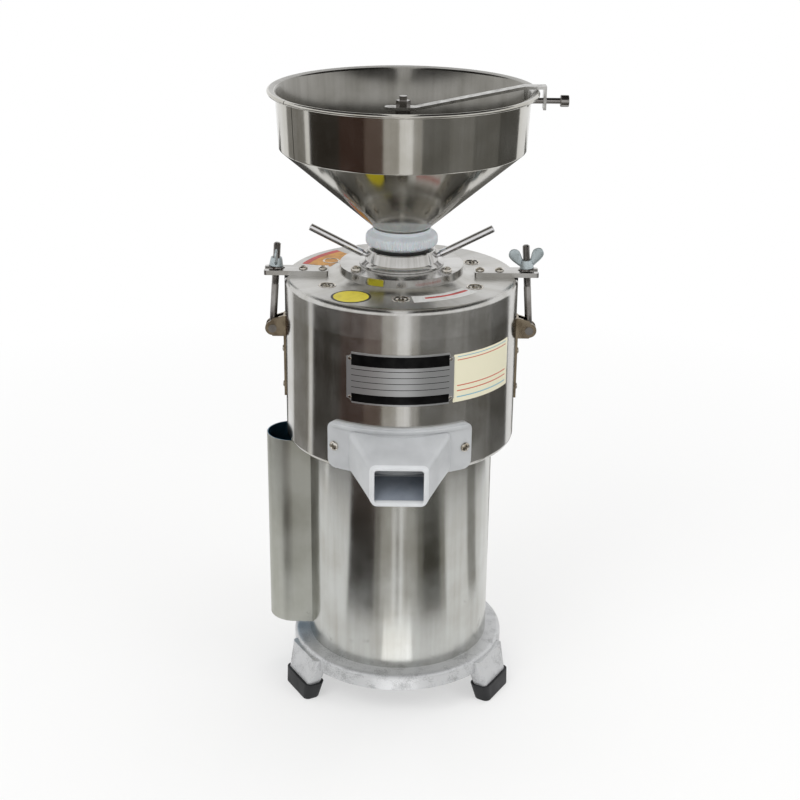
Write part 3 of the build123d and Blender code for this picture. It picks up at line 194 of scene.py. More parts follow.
def rounded(corners, steps=5):
    """An outline through (across, along, radius) corners, each corner replaced by an arc of its radius.

    The arc is a quadratic blend between the points where it leaves the two sides. A radius of 0
    keeps the corner. The outline is closed by its user.
    """
    spots = np.array([c[:2] for c in corners], float)
    ahead, behind = np.roll(spots, -1, 0) - spots, np.roll(spots, 1, 0) - spots
    ahead_length = np.linalg.norm(ahead, axis=1, keepdims=True)
    behind_length = np.linalg.norm(behind, axis=1, keepdims=True)
    ahead, behind = ahead / np.maximum(ahead_length, 1e-9), behind / np.maximum(behind_length, 1e-9)
    radius = np.array([c[2] for c in corners], float)[:, None]
    opening = np.arccos(np.clip((ahead * behind).sum(1, keepdims=True), -0.999, 0.999))
    cut = np.minimum(radius / np.tan(opening / 2), np.minimum(ahead_length, behind_length) * 0.49)
    t = np.linspace(0, 1, steps)[None, :, None]
    start, end, middle = (spots + behind * cut)[:, None], (spots + ahead * cut)[:, None], spots[:, None]
    arcs = (1 - t) ** 2 * start + 2 * t * (1 - t) * middle + t ** 2 * end
    keep = [arc if r > 0 else arc[:1] for arc, r in zip(arcs, radius[:, 0])]
    return np.concatenate(keep)


def basis(axis):
    """Two unit vectors square to an axis and to each other."""
    axis = np.asarray(axis, float) / np.linalg.norm(axis)
    side = np.cross(axis, [0, 1, 0] if abs(axis[1]) < 0.9 else [1, 0, 0])
    side /= np.linalg.norm(side)
    return axis, side, np.cross(axis, side)


def turned(name, outline, segments=96, origin=(0, 0, 0), axis=(0, 0, 1), swell=None, crease=35.0,
           closed=True):
    """A solid of revolution: each (radius, height) point of the outline goes round the axis.

    swell, where given, is a function of the angle grid and the outline that returns what is added
    to the radius. The outline is a closed ring, or, where closed is False, runs from axis to axis.
    """
    axis, side, other = basis(axis)
    if tuple(axis) == (0, 0, 1):
        side, other = np.array([1.0, 0, 0]), np.array([0, 1.0, 0])
    angle = np.linspace(0, math.tau, segments, endpoint=False)[:, None]
    radius = np.repeat(outline[None, :, 0], segments, 0)
    height = np.repeat(outline[None, :, 1], segments, 0)
    if swell is not None:
        radius = radius + swell(angle, outline[None, :, :])
    points = (np.asarray(origin, float) + height[..., None] * axis
              + radius[..., None] * (np.cos(angle)[..., None] * side + np.sin(angle)[..., None] * other))
    return skin(name, points, (True, closed), crease)


def frame_line(half_width, half_height, corner, bend=8, run=18):
    """Points of a rounded rectangle: four quarter circles, each followed by even steps along a side."""
    parts = []
    signs = ((1, 1), (-1, 1), (-1, -1), (1, -1))
    for quarter, (right, up) in enumerate(signs):
        angle = (quarter + np.linspace(0, 1, bend)) * math.pi / 2
        middle = np.array([right * (half_width - corner), up * (half_height - corner)])
        arc = middle + corner * np.stack([np.cos(angle), np.sin(angle)], 1)
        right, up = signs[(quarter + 1) % 4]
        angle = (quarter + 1) * math.pi / 2
        ahead = np.array([right * (half_width - corner), up * (half_height - corner)])
        ahead = ahead + corner * np.array([math.cos(angle), math.sin(angle)])
        share = np.linspace(0, 1, run + 2)[1:-1, None]
        parts += [arc, arc[-1] + (ahead - arc[-1]) * share]
    return np.concatenate(parts)


def bent_plate(name, half_width, half_height, centre, radius, thickness, corner, edge, crease=30.0):
    """A plate with round corners bent about the mill axis.

    centre is (angle from the front in radians, height). The outline is a rounded rectangle, drawn
    in to nothing on the back and the front, with its rim rounded by edge. The distance across
    becomes an angle on the cylinder of the given radius.
    """
    shares = np.linspace(0, 1, 12)
    steps = [*((share, 0.0) for share in shares), (1.0, thickness - edge), (1.0, thickness - edge * 0.3),
             *((share, thickness) for share in shares[::-1])]
    ring = frame_line(half_width, half_height, corner)
    inner = frame_line(half_width - edge, half_height - edge, max(corner - edge, edge / 2))
    rows = []
    for share, depth in steps:
        flat = (inner if depth == thickness else ring) * share
        angle = centre[0] + flat[:, 0] / radius
        reach = radius + depth
        rows.append(np.stack([reach * np.sin(angle), -reach * np.cos(angle), centre[1] + flat[:, 1]], 1))
    return skin(name, np.array(rows), (False, True), crease)


def circle(count):
    """Points of a unit circle."""
    around = np.linspace(0, math.tau, count, endpoint=False)
    return np.column_stack([np.cos(around), np.sin(around)])


def flat_sticker(name, outline, height, thickness):
    """A thin film on a level surface: its outline is drawn in to its middle below and above."""
    middle = outline.mean(0)
    rows = [np.column_stack([middle + (outline - middle) * share, np.full(len(outline), height + rise)])
            for share, rise in ((0, 0), (1, 0), (1, thickness), (0, thickness))]
    return skin(name, np.array(rows), (False, True))


def place(piece, material, body, replaces=()):
    """Gives a finished piece its material and body, and hides the CAD nodes that it stands for."""
    piece.data.materials.clear()
    piece.data.materials.append(material)
    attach(piece, body)
    if replaces:
        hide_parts(*replaces)
    return piece


# Finishes, each named for the real material


def sheet_steel(name, colour, streak, roughness, grain, stretch=0.7, top=None, seam=None, scuffs=None,
                lining=None):
    """Stainless steel, turned or brushed round the mill's axis.

    Fine rings stretch what it reflects up and down, and long soft streaks vary its tone. top is the
    height from which the finish is satin, with that roughness. seam is the angle in turns and half
    width of a weld line. scuffs is the height under which it is scratched, and lining the axis
    place, radius and colour of a film inside a round box.
    """
    material, shader = new_material(name, colour, 1.0, roughness, Anisotropic=stretch,
                                    Anisotropic_Rotation=0.25)
    spot, z, turn = spot_on(material)
    # rings of the grain's height in metres, drawn coarse enough to show
    rings = add_node(material, "ShaderNodeCombineXYZ", {0: turn, 2: z})
    fine = add_node(material, "ShaderNodeTexNoise", {"Vector": rings, "Scale": 1 / grain, "Detail": 2.0})
    tall = add_node(material, "ShaderNodeMapping", {"Vector": rings, "Scale": (46.0, 1.0, 2.2)})
    lines = add_node(material, "ShaderNodeTexNoise", {"Vector": tall, "Scale": 1.0, "Detail": 5.0,
                                                      "Roughness": 0.6})
    cloud = add_node(material, "ShaderNodeTexNoise", {"Vector": spot, "Scale": 26.0, "Detail": 3.0})
    mixed = add_node(material, "ShaderNodeMath", {0: lines, 1: cloud}, operation="ADD")
    share = add_node(material, "ShaderNodeMapRange", {"Value": mixed, "From Min": 0.72, "From Max": 1.2})
    tint = add_node(material, "ShaderNodeValToRGB", {"Fac": share}, [(0.0, streak), (1.0, colour)])
    rough = add_node(material, "ShaderNodeMapRange", {"Value": cloud, "From Min": 0.3, "From Max": 0.75,
                                                      "To Min": roughness * 0.85,
                                                      "To Max": roughness * 1.15})
    if top is not None:
        height, satin = top
        flat = add_node(material, "ShaderNodeMapRange", {"Value": z, "From Min": height - 2.5 * MM,
                                                         "From Max": height, "To Max": satin - roughness})
        rough = add_node(material, "ShaderNodeMath", {0: rough, 1: flat}, operation="ADD")
    if seam is not None:
        near = add_node(material, "ShaderNodeMath", {0: turn, 1: seam[0], 2: seam[1]}, operation="COMPARE")
        tint = add_node(material, "ShaderNodeMix", {0: near, 1: tint, 2: "#5F5C55"}, data_type="RGBA")
    if scuffs is not None:
        # short rubbed patches, thicker towards the foot
        patch = add_node(material, "ShaderNodeTexNoise", {"Vector": spot, "Scale": 55.0, "Detail": 7.0,
                                                          "Roughness": 0.72, "Distortion": 0.6})
        fade = add_node(material, "ShaderNodeMapRange", {"Value": z, "From Min": scuffs, "From Max": 70 * MM,
                                                         "To Min": 0.66, "To Max": 0.57})
        worn = add_node(material, "ShaderNodeMath", {0: patch, 1: fade}, operation="SUBTRACT")
        worn = add_node(material, "ShaderNodeMapRange", {"Value": worn, "From Max": 0.06, "To Max": 0.3})
        tint = add_node(material, "ShaderNodeMix", {0: worn, 1: tint, 2: "#75736A"}, data_type="RGBA")
    if lining is not None:
        centre, reach, film = lining
        level = add_node(material, "ShaderNodeMapping", {"Vector": spot, "Scale": (1.0, 1.0, 0.0)})
        away = add_node(material, "ShaderNodeVectorMath", {0: level, 1: (centre, 0.0, 0.0)},
                        operation="DISTANCE")
        away = live(away.outputs)
        within = add_node(material, "ShaderNodeMath", {0: away, 1: reach}, operation="LESS_THAN")
        tint = add_node(material, "ShaderNodeMix", {0: within, 1: tint, 2: film}, data_type="RGBA")
    material.node_tree.links.new(live(tint.outputs), shader.inputs["Base Color"])
    material.node_tree.links.new(live(rough.outputs), shader.inputs["Roughness"])
    add_node(material, "ShaderNodeTangent", into=shader.inputs["Tangent"], direction_type="RADIAL", axis="Z")
    add_node(material, "ShaderNodeBump", {"Height": fine, "Distance": 0.005 * MM, "Strength": 0.5},
             into=shader.inputs["Normal"])
    return material


def small_steel(name, colour, dark, roughness, spots=250.0, depth=0.01):
    """Drawn or plated steel of small pieces: a cloudy tone and faint dents from handling."""
    material, shader = new_material(name, colour, 1.0, roughness)
    spot = spot_on(material)[0]
    cloud = add_node(material, "ShaderNodeTexNoise", {"Vector": spot, "Scale": spots, "Detail": 4.0})
    add_node(material, "ShaderNodeValToRGB", {"Fac": cloud}, [(0.32, dark), (0.6, colour)],
             shader.inputs["Base Color"])
    add_node(material, "ShaderNodeMapRange", {"Value": cloud, "From Min": 0.3, "From Max": 0.7,
                                              "To Min": roughness * 1.4, "To Max": roughness * 0.75},
             into=shader.inputs["Roughness"])
    dents = add_node(material, "ShaderNodeTexNoise", {"Vector": spot, "Scale": spots * 2, "Detail": 3.0})
    add_node(material, "ShaderNodeBump", {"Height": dents, "Distance": depth * MM, "Strength": 0.5},
             into=shader.inputs["Normal"])
    return material


def cast_metal(name, colour, dark, metallic, roughness, grain, depth, lumps=0.0):
    """Sand-cast metal: grains of the mould's sand, broad lumps, and darker soil in the hollows."""
    material, shader = new_material(name, colour, metallic, roughness)
    spot = spot_on(material)[0]
    sand = add_node(material, "ShaderNodeTexNoise", {"Vector": spot, "Scale": 1 / grain, "Detail": 4.0,
                                                     "Roughness": 0.65})
    broad = add_node(material, "ShaderNodeTexNoise", {"Vector": spot, "Scale": 70.0, "Detail": 3.0})
    both = add_node(material, "ShaderNodeMath", {0: sand, 1: broad}, operation="ADD")
    soil = add_node(material, "ShaderNodeMapRange", {"Value": both, "From Min": 0.7, "From Max": 1.25})
    add_node(material, "ShaderNodeValToRGB", {"Fac": soil}, [(0.0, dark), (0.55, colour)],
             shader.inputs["Base Color"])
    add_node(material, "ShaderNodeMapRange", {"Value": sand, "From Min": 0.3, "From Max": 0.7,
                                              "To Min": roughness * 1.25, "To Max": roughness * 0.8},
             into=shader.inputs["Roughness"])
    soft = add_node(material, "ShaderNodeBump", {"Height": broad, "Distance": lumps, "Strength": 0.7})
    add_node(material, "ShaderNodeBump",
             {"Height": sand, "Distance": depth, "Strength": 0.8, "Normal": soft},
             into=shader.inputs["Normal"])
    return material


def moulded(name, colour, dark, roughness, grain=0.6 * MM, depth=0.03 * MM, **sockets):
    """Moulded rubber or plastic, paint or nylon: a fine orange-peel skin and faint clouds of colour."""
    material, shader = new_material(name, colour, 0.0, roughness, **sockets)
    spot = spot_on(material)[0]
    peel = add_node(material, "ShaderNodeTexNoise", {"Vector": spot, "Scale": 1 / grain, "Detail": 3.0})
    cloud = add_node(material, "ShaderNodeTexNoise", {"Vector": spot, "Scale": 30.0, "Detail": 4.0})
    add_node(material, "ShaderNodeValToRGB", {"Fac": cloud}, [(0.3, dark), (0.6, colour)],
             shader.inputs["Base Color"])
    add_node(material, "ShaderNodeMapRange", {"Value": cloud, "From Min": 0.3, "From Max": 0.7,
                                              "To Min": roughness * 1.25, "To Max": roughness * 0.85},
             into=shader.inputs["Roughness"])
    add_node(material, "ShaderNodeBump", {"Height": peel, "Distance": depth, "Strength": 0.7},
             into=shader.inputs["Normal"])
    return material


def ruled_print(name, ground, low, high, half_width, centre, stops, metallic, roughness, speck):
    """A printed ground with plain bands and ruled lines between two heights, kept clear of both ends.

    centre is the angle in turns of its middle, half_width is measured round the drum in metres, and
    stops are the (place, colour) pairs from its foot to its head.
    """
    material, shader = new_material(name, ground, metallic, roughness)
    spot, z, turn = spot_on(material)
    up = add_node(material, "ShaderNodeMapRange", {"Value": z, "From Min": low, "From Max": high})
    bands = add_node(material, "ShaderNodeValToRGB", {"Fac": up}, stops)
    bands.color_ramp.interpolation = "CONSTANT"
    aside = add_node(material, "ShaderNodeMath", {0: turn, 1: centre}, operation="SUBTRACT")
    aside = add_node(material, "ShaderNodeMath", {0: aside}, operation="ABSOLUTE")
    end = add_node(material, "ShaderNodeMath", {0: aside, 1: half_width / DRUM_RADIUS / math.tau},
                   operation="GREATER_THAN")
    tint = add_node(material, "ShaderNodeMix", {0: end, 1: bands, 2: ground}, data_type="RGBA")
    grain = add_node(material, "ShaderNodeTexNoise", {"Vector": spot, "Scale": 90.0, "Detail": 5.0})
    wear = add_node(material, "ShaderNodeMapRange", {"Value": grain, "From Min": 0.4, "From Max": 0.8,
                                                     "To Max": 0.05})
    add_node(material, "ShaderNodeMix", {0: wear, 1: tint, 2: speck}, into=shader.inputs["Base Color"],
             data_type="RGBA")
    return material


def film(name, ground, mark):
    """Coated paper or film of a sticker: one plain colour with faint rubbed spots."""
    material, shader = new_material(name, ground, 0.0, 0.42)
    spot = spot_on(material)[0]
    rubbed = add_node(material, "ShaderNodeTexNoise", {"Vector": spot, "Scale": 90.0, "Detail": 4.0})
    add_node(material, "ShaderNodeValToRGB", {"Fac": rubbed}, [(0.3, mark), (0.55, ground)],
             shader.inputs["Base Color"])
    weave = add_node(material, "ShaderNodeTexNoise", {"Vector": spot, "Scale": 1200.0, "Detail": 2.0})
    add_node(material, "ShaderNodeBump", {"Height": weave, "Distance": 0.01 * MM, "Strength": 0.4},
             into=shader.inputs["Normal"])
    return material


# Sizes and colours that a user may change


class MillSizes(bpy.types.PropertyGroup):
    """Sizes of the dressed pieces, all other sizes come from the frame."""

    rib_count: IntProperty(name="Ring ribs", description="Grip ribs round the coupling ring", default=84,
                           min=12)
    rib_depth: FloatProperty(name="Rib depth", description="Height of a grip rib", default=0.5 * MM,
                             unit="LENGTH", precision=5)
    thread_pitch: FloatProperty(name="Bolt thread pitch",
                                description="Rise of the swing bolt thread in one turn",
                                default=1.25 * MM, unit="LENGTH", precision=5)
    thread_length: FloatProperty(name="Bolt thread length", description="Threaded part of a swing bolt",
                                 default=46 * MM, unit="LENGTH")
    wing_span: FloatProperty(name="Wing span", description="Width of a wing nut over both wings",
                             default=41 * MM, unit="LENGTH")
    rim_bead: FloatProperty(name="Rim bead", description="Radius of the rolled bead on the hopper's rim",
                            default=2.3 * MM, unit="LENGTH", precision=5)
    floor_radius: FloatProperty(name="Floor radius", description="Radius of the round floor",
                                default=6.0, unit="LENGTH")
    lens: FloatProperty(name="Lens", description="Focal length of the camera in millimetres", default=68.56)


class MillColours(bpy.types.PropertyGroup):
    """Colours of the main finishes and of the stage."""

    steel: FloatVectorProperty(name="Steel", description="Stainless steel of drum and lid",
                               subtype="COLOR", size=4, default=linear("#C9C8C5"), min=0, max=1)
    paint: FloatVectorProperty(name="Spout paint", description="Paint of the spout casting", subtype="COLOR",
                               size=4, default=linear("#C2C4C6"), min=0, max=1)
    nylon: FloatVectorProperty(name="Ring", description="Nylon of the coupling ring", subtype="COLOR",
                               size=4, default=linear("#DDE3E8"), min=0, max=1)
    floor: FloatVectorProperty(name="Floor", description="Colour of the floor", subtype="COLOR", size=4,
                               default=linear("#F4F4F3"), min=0, max=1)
    sky: FloatVectorProperty(name="Backdrop", description="Colour of the backdrop", subtype="COLOR", size=4,
                             default=linear("#FFFFFF"), min=0, max=1)


def sizes():
    return bpy.context.scene.mill_sizes


# Operators, one for each piece or group of like pieces


class MILL_OT_hopper(bpy.types.Operator):
    """Spin the hopper: neck, cone and band in thin polished sheet, with a rolled rim and one weld line"""

    bl_idname = "mill.hopper"
    bl_label = "Hopper"

    def execute(self, context):
        cone_low, cone_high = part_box("hopper_cone")
        band_low, band_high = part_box("hopper_band")
        bead_size = sizes().rim_bead
        sheet, throat, wall = 1.5 * MM, 21.5 * MM, 131.5 * MM
        foot, crease, rim, top = cone_high.x, band_low.z, band_high.x, band_high.z
        # the cone falls evenly from the crease to the neck
        cone_fall = 86.0 / 99.7
        neck_top = crease - (foot - throat) * cone_fall
        hook = np.linspace(math.pi / 2, -math.pi * 0.9, 14)[:, None]
        roll = np.array([rim - bead_size, top - bead_size])
        roll = roll + bead_size * np.hstack([np.cos(hook), np.sin(hook)])
        outside = rounded([(throat, cone_low.z, 0), (throat, neck_top, 2 * MM), (foot, crease, 2.4 * MM),
                           (wall, top - sheet, 1.2 * MM), (rim - 2 * bead_size, top - sheet, 0)])[:-1]
        inside = rounded([(wall + 0.8 * MM, top - 0.5 * MM, 1.6 * MM), (wall - sheet, top - 3 * MM, 0),
                          (foot - sheet, crease, 2.4 * MM), (throat - sheet, neck_top, 2 * MM),
                          (throat - sheet, cone_low.z, 0)])
        outline = np.concatenate([outside, roll[::-1], inside])
        piece = turned("hopper_shell", outline, 256, crease=50.0)
        place(piece, bpy.data.materials["polished_hopper_steel"], "hopper",
              ("hopper_cone", "hopper_band"))
        # the faces that look towards the axis take the darker inside copy of the steel, a painted shade
        piece.data.materials.append(bpy.data.materials["dull_hopper_inside"])
        count = len(piece.data.polygons)
        middle, normal = np.empty(count * 3), np.empty(count * 3)
        piece.data.polygons.foreach_get("center", middle)
        piece.data.polygons.foreach_get("normal", normal)
        outward = (middle.reshape(-1, 3)[:, :2] * normal.reshape(-1, 3)[:, :2]).sum(1)
        piece.data.polygons.foreach_set("material_index", (outward < 0).astype(np.int32))
        return {"FINISHED"}


class MILL_OT_coupling_ring(bpy.types.Operator):
    """Turn the white ring under the hopper, with grip ribs round its belly"""

    bl_idname = "mill.coupling_ring"
    bl_label = "Coupling ring"

    def execute(self, context):
        low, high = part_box("coupling_ring")
        belly, foot, top = high.x, low.z, high.z
        bore, skirt, lip = 22.0 * MM, 32.0 * MM, 31.0 * MM
        outline = rounded([
            (bore, foot, 0), (skirt, foot, 1.5 * MM), (belly, foot + 3.2 * MM, 4 * MM),
            (belly, foot + 12.5 * MM, 5 * MM), (skirt + 0.5 * MM, foot + 15.6 * MM, 1.2 * MM),
            (lip, foot + 16.5 * MM, 0.5 * MM), (lip, top, 0.5 * MM), (lip - 1.5 * MM, top, 0),
            (bore, top - 6.6 * MM, 0)], 7)
        count, depth = sizes().rib_count, sizes().rib_depth

        def ribs(angle, points):
            # a flat-topped wave round the ring, strongest on the belly and gone at lip and foot
            wave = np.tanh(3 * np.cos(count * angle)) * depth / 2 - depth / 2
            return wave * np.clip((points[..., 0] - skirt - 1 * MM) / (3 * MM), 0, 1)

        piece = turned("coupling_ring_ribbed", outline, count * 10, swell=ribs, crease=60.0)
        place(piece, bpy.data.materials["turned_nylon"], "collar", ("coupling_ring",))
        return {"FINISHED"}


def swing_line(side):
    """The pivot of a swing bolt on one side, -1 for left, and the bolt's direction from it."""
    pivot = np.array([side * PIVOT_REACH, 0, PIVOT_HEIGHT])
    return pivot, np.array([-side * math.sin(BOLT_LEAN), 0, math.cos(BOLT_LEAN)])


class MILL_OT_swing_bolts(bpy.types.Operator):
    """Thread the two swing bolts, each with its eye round the clevis pin"""

    bl_idname = "mill.swing_bolts"
    bl_label = "Swing bolts"

    def execute(self, context):
        pitch, threaded, length = sizes().thread_pitch, sizes().thread_length, BOLT_LENGTH
        shank_radius, core_radius, thread_height = 3.9 * MM, 3.65 * MM, 0.34 * MM
        eye_bore, eye_radius, eye_half = 3.06 * MM, 7 * MM, 4.2 * MM
        for name, side in (("left", -1), ("right", 1)):
            pivot, axis = swing_line(side)
            # seven rows of points to one turn of the thread
            rise = np.arange(length - threaded, length - 1.0 * MM, pitch / 7)
            outline = np.concatenate([
                [(0, 5 * MM), (shank_radius, 5 * MM), (shank_radius, length - threaded - 0.5 * MM)],
                np.column_stack([np.full(len(rise), core_radius), rise]),
                [(3.2 * MM, length - 0.7 * MM), (2.6 * MM, length), (0, length)]])

            def thread(angle, points):
                # a round-crested wave that climbs by one pitch a turn, on the threaded part alone
                wave = np.cos(math.tau * points[..., 1] / pitch - angle)
                on = np.clip((points[..., 1] - length + threaded) / pitch, 0, 1)
                off = np.clip((length - 0.8 * MM - points[..., 1]) / (0.2 * MM), 0, 1)
                return thread_height * wave * on * off

            shank = turned("shank", outline, 40, pivot, axis, thread, 60.0, False)
            ring = rounded([(eye_bore, -eye_half, 0.3 * MM), (eye_radius, -eye_half, 1.4 * MM),
                            (eye_radius, eye_half, 1.4 * MM), (eye_bore, eye_half, 0.3 * MM)])
            eye = turned("eye", ring, 64, pivot, (0, 1, 0))
            piece = merged(f"threaded_bolt_{name}", [shank, eye])
            place(piece, bpy.data.materials["zinc_plated_bolt"], f"bolt_{name}",
                  (f"swing_bolt_{name}",))
        return {"FINISHED"}


class MILL_OT_wing_nuts(bpy.types.Operator):
    """Cast the two wing nuts: a coned hub with two rounded ears"""

    bl_idname = "mill.wing_nuts"
    bl_label = "Wing nuts"

    def execute(self, context):
        reach = sizes().wing_span / 2
        bore, hub_foot, hub_head, hub_height = 4.15 * MM, 7.5 * MM, 5.9 * MM, 9.4 * MM
        # an ear's middle line starts inside the hub, and its tip stands out past the line's end
        ear_root, ear_inset, around = 4.6 * MM, 9.6 * MM, 28
        for name, side in (("left", -1), ("right", 1)):
            pivot, axis = swing_line(side)
            foot = pivot + axis * NUT_FOOT
            # the right nut's wings stand across the view, the left nut's point along it
            across = np.cross([0, 1.0, 0], axis) if side > 0 else np.array([0, 1.0, 0])
            thick = np.cross(across, axis)
            outline = rounded([(bore, 0, 0.3 * MM), (hub_foot, 0, 0.7 * MM),
                               (hub_head, hub_height, 1.2 * MM), (bore, hub_height, 0.3 * MM)])
            hub = turned("hub", outline, 64, foot, axis)
            ears = []
            for way in (-1, 1):
                t = np.linspace(0, 1, 40)[:, None]
                # the ear's middle line bends out and up from the hub's flank
                out = ear_root + (reach - ear_inset) * t ** 0.85
                up = (5.0 + 16.2 * t ** 1.15) * MM
                # its half height grows to a round tip and closes there like a circle
                close = np.sqrt(np.clip(1 - np.clip((t - 0.7) / 0.3, 0, 1) ** 2, 0, 1))
                tall = (3.6 + 2.6 * np.sin(math.pi * t * 0.72) ** 2) * MM * close
                flat = (1.9 - 0.5 * t) * MM * close ** 0.5
                angle = np.linspace(0, math.tau, around, endpoint=False)[None, :]
                run = np.gradient(out[:, 0])[:, None]
                climb = np.gradient(up[:, 0])[:, None]
                size = np.hypot(run, climb)
                run, climb = run / size, climb / size
                soft_cos = np.sign(np.cos(angle)) * np.abs(np.cos(angle)) ** 0.8
                soft_sin = np.sign(np.sin(angle)) * np.abs(np.sin(angle)) ** 0.8
                side_step = out - tall * climb * soft_cos
                rise = up + tall * run * soft_cos
                points = (foot + (way * side_step)[..., None] * across + rise[..., None] * axis
                          + (flat * soft_sin)[..., None] * thick)
                first, last = points[:1].mean(1, keepdims=True), points[-1:].mean(1, keepdims=True)
                points = np.concatenate([np.repeat(first, around, 1), points, np.repeat(last, around, 1)])
                ears.append(skin("ear", points, (False, True), 60.0))
            piece = merged(f"cast_wing_nut_{name}", [hub, *ears])
            place(piece, bpy.data.materials["cast_zinc"], f"nut_{name}", (f"wing_nut_{name}",))
        return {"FINISHED"}


class MILL_OT_spout(bpy.types.Operator):
    """Cast the spout: a bent flange with a raised edge, and a chute that narrows to a thick round mouth"""

    bl_idname = "mill.spout"
    bl_label = "Discharge spout"

    def execute(self, context):
        flange = bent_plate("flange", half_width=78 * MM, half_height=26 * MM, centre=(0, 326 * MM),
                            radius=DRUM_RADIUS + 0.05 * MM, thickness=FLANGE_THICKNESS,
                            corner=9 * MM, edge=1.2 * MM)
        lip = bent_plate("lip", half_width=74 * MM, half_height=2.2 * MM, centre=(0, 348.6 * MM),
                         radius=DRUM_RADIUS + 1 * MM, thickness=FLANGE_THICKNESS + 0.6 * MM,
                         corner=2.1 * MM, edge=1.5 * MM)
        # all of the chute in millimetres: where it starts to narrow and ends, and its section at both
        root_reach, mouth_reach = 122, 165
        root_half, mouth_half = 53, 28.5
        root_roof, mouth_roof = 346, 325
        root_floor, mouth_floor = 300.5, 282
        # (reach, inset) of the skin from the drum to the mouth, over the rounded lip, and back inside
        steps = [(115.5, 0), (124, 0), (131, 0), (138, 0), (146, 0), (154, 0), (161, 0), (163.6, 0.2),
                 (164.8, 0.8), (165, 1.6), (164.6, 2.6), (163, 3.3), (150, 3.3), (130, 3.3), (115.5, 3.3)]

        def chute_row(reach, inset):
            # the width closes evenly, the roof falls more than the floor
            share = min(max((reach - root_reach) / (mouth_reach - root_reach), 0), 1)
            half = root_half + (mouth_half - root_half) * share ** 0.95 - inset
            roof = root_roof + (mouth_roof - root_roof) * share - inset
            floor = root_floor + (mouth_floor - root_floor) * share + inset
            ring = frame_line(half * MM, (roof - floor) / 2 * MM, max(6.5 - inset, 2) * MM)
            middle = (roof + floor) / 2 * MM
            return np.column_stack([ring[:, 0], np.full(len(ring), -reach * MM), ring[:, 1] + middle])

        chute = skin("chute", np.array([chute_row(*step) for step in steps]), (True, True), 40.0)
        piece = merged("cast_spout", [flange, lip, chute])
        place(piece, bpy.data.materials["painted_casting"], "machine", ("discharge_spout",))
        # painted shade: the dark blue-grey inside of the chute stands for the shade of the dark chamber
        # behind it, a thin tube against its painted wall
        inner = [(115.8, 3.4), (135, 3.4), (150, 3.4), (161, 3.4), (161, 3.9), (150, 3.9), (135, 3.9),
                 (115.8, 3.9)]
        piece = skin("spout_inside", np.array([chute_row(*step) for step in inner]), (True, True), 40.0)
        place(piece, bpy.data.materials["stained_casting"], "machine")
        # a pale, worn band round the mouth
        mouth = [(162, -0.2), (164.8, -0.2), (165.4, 0.4), (165.4, 2.8), (164.8, 3.5), (162, 3.5),
                 (162, 1.6)]
        piece = skin("spout_mouth_rim", np.array([chute_row(*step) for step in mouth]), (True, True), 50.0)
        place(piece, bpy.data.materials["rubbed_white_paint"], "machine")
        return {"FINISHED"}


def drive_head(name, centre, normal, radius, height, blades):
    """A domed screw head: its height is a dome, less a soft-edged recess in the middle.

    blades is 4 for a cross recess and 6 for a hexagon socket.
    """
    # half width and length of a cross's arms and half width of a socket, as shares of the radius
    arm_half, arm_length, socket_half = 0.13, 0.62, 0.42
    normal, side, other = basis(normal)
    angle = np.linspace(0, math.tau, 64, endpoint=False)[None, :]
    share = np.concatenate([np.linspace(0, 0.96, 26), [1.0]])[:, None]
    dome = height * np.sqrt(np.clip(1 - (0.92 * share) ** 2.2, 0, 1)) + 0 * angle
    if blades == 4:
        across, along = share * np.cos(angle), share * np.sin(angle)
        arm = np.minimum(np.abs(across), np.abs(along))
        recess = np.clip((arm_half - arm) / 0.05, 0, 1) * np.clip((arm_length - share) / 0.12, 0, 1)
    else:
        flat = np.cos((angle + math.pi / 6) % (math.pi / 3) - math.pi / 6)
        recess = np.clip((socket_half - share * flat) / 0.05, 0, 1)
    top = dome - 0.55 * height * recess
    ring = share * radius
    points = (np.asarray(centre) + top[..., None] * normal
              + (ring * np.cos(angle))[..., None] * side + (ring * np.sin(angle))[..., None] * other)
    edge = points[-1:] - top[-1:, :, None] * normal - 0.3 * MM * normal
    under = np.repeat(edge.mean(1, keepdims=True), 64, 1)
    return skin(name, np.concatenate([points, edge, under]), (False, True), 50.0)


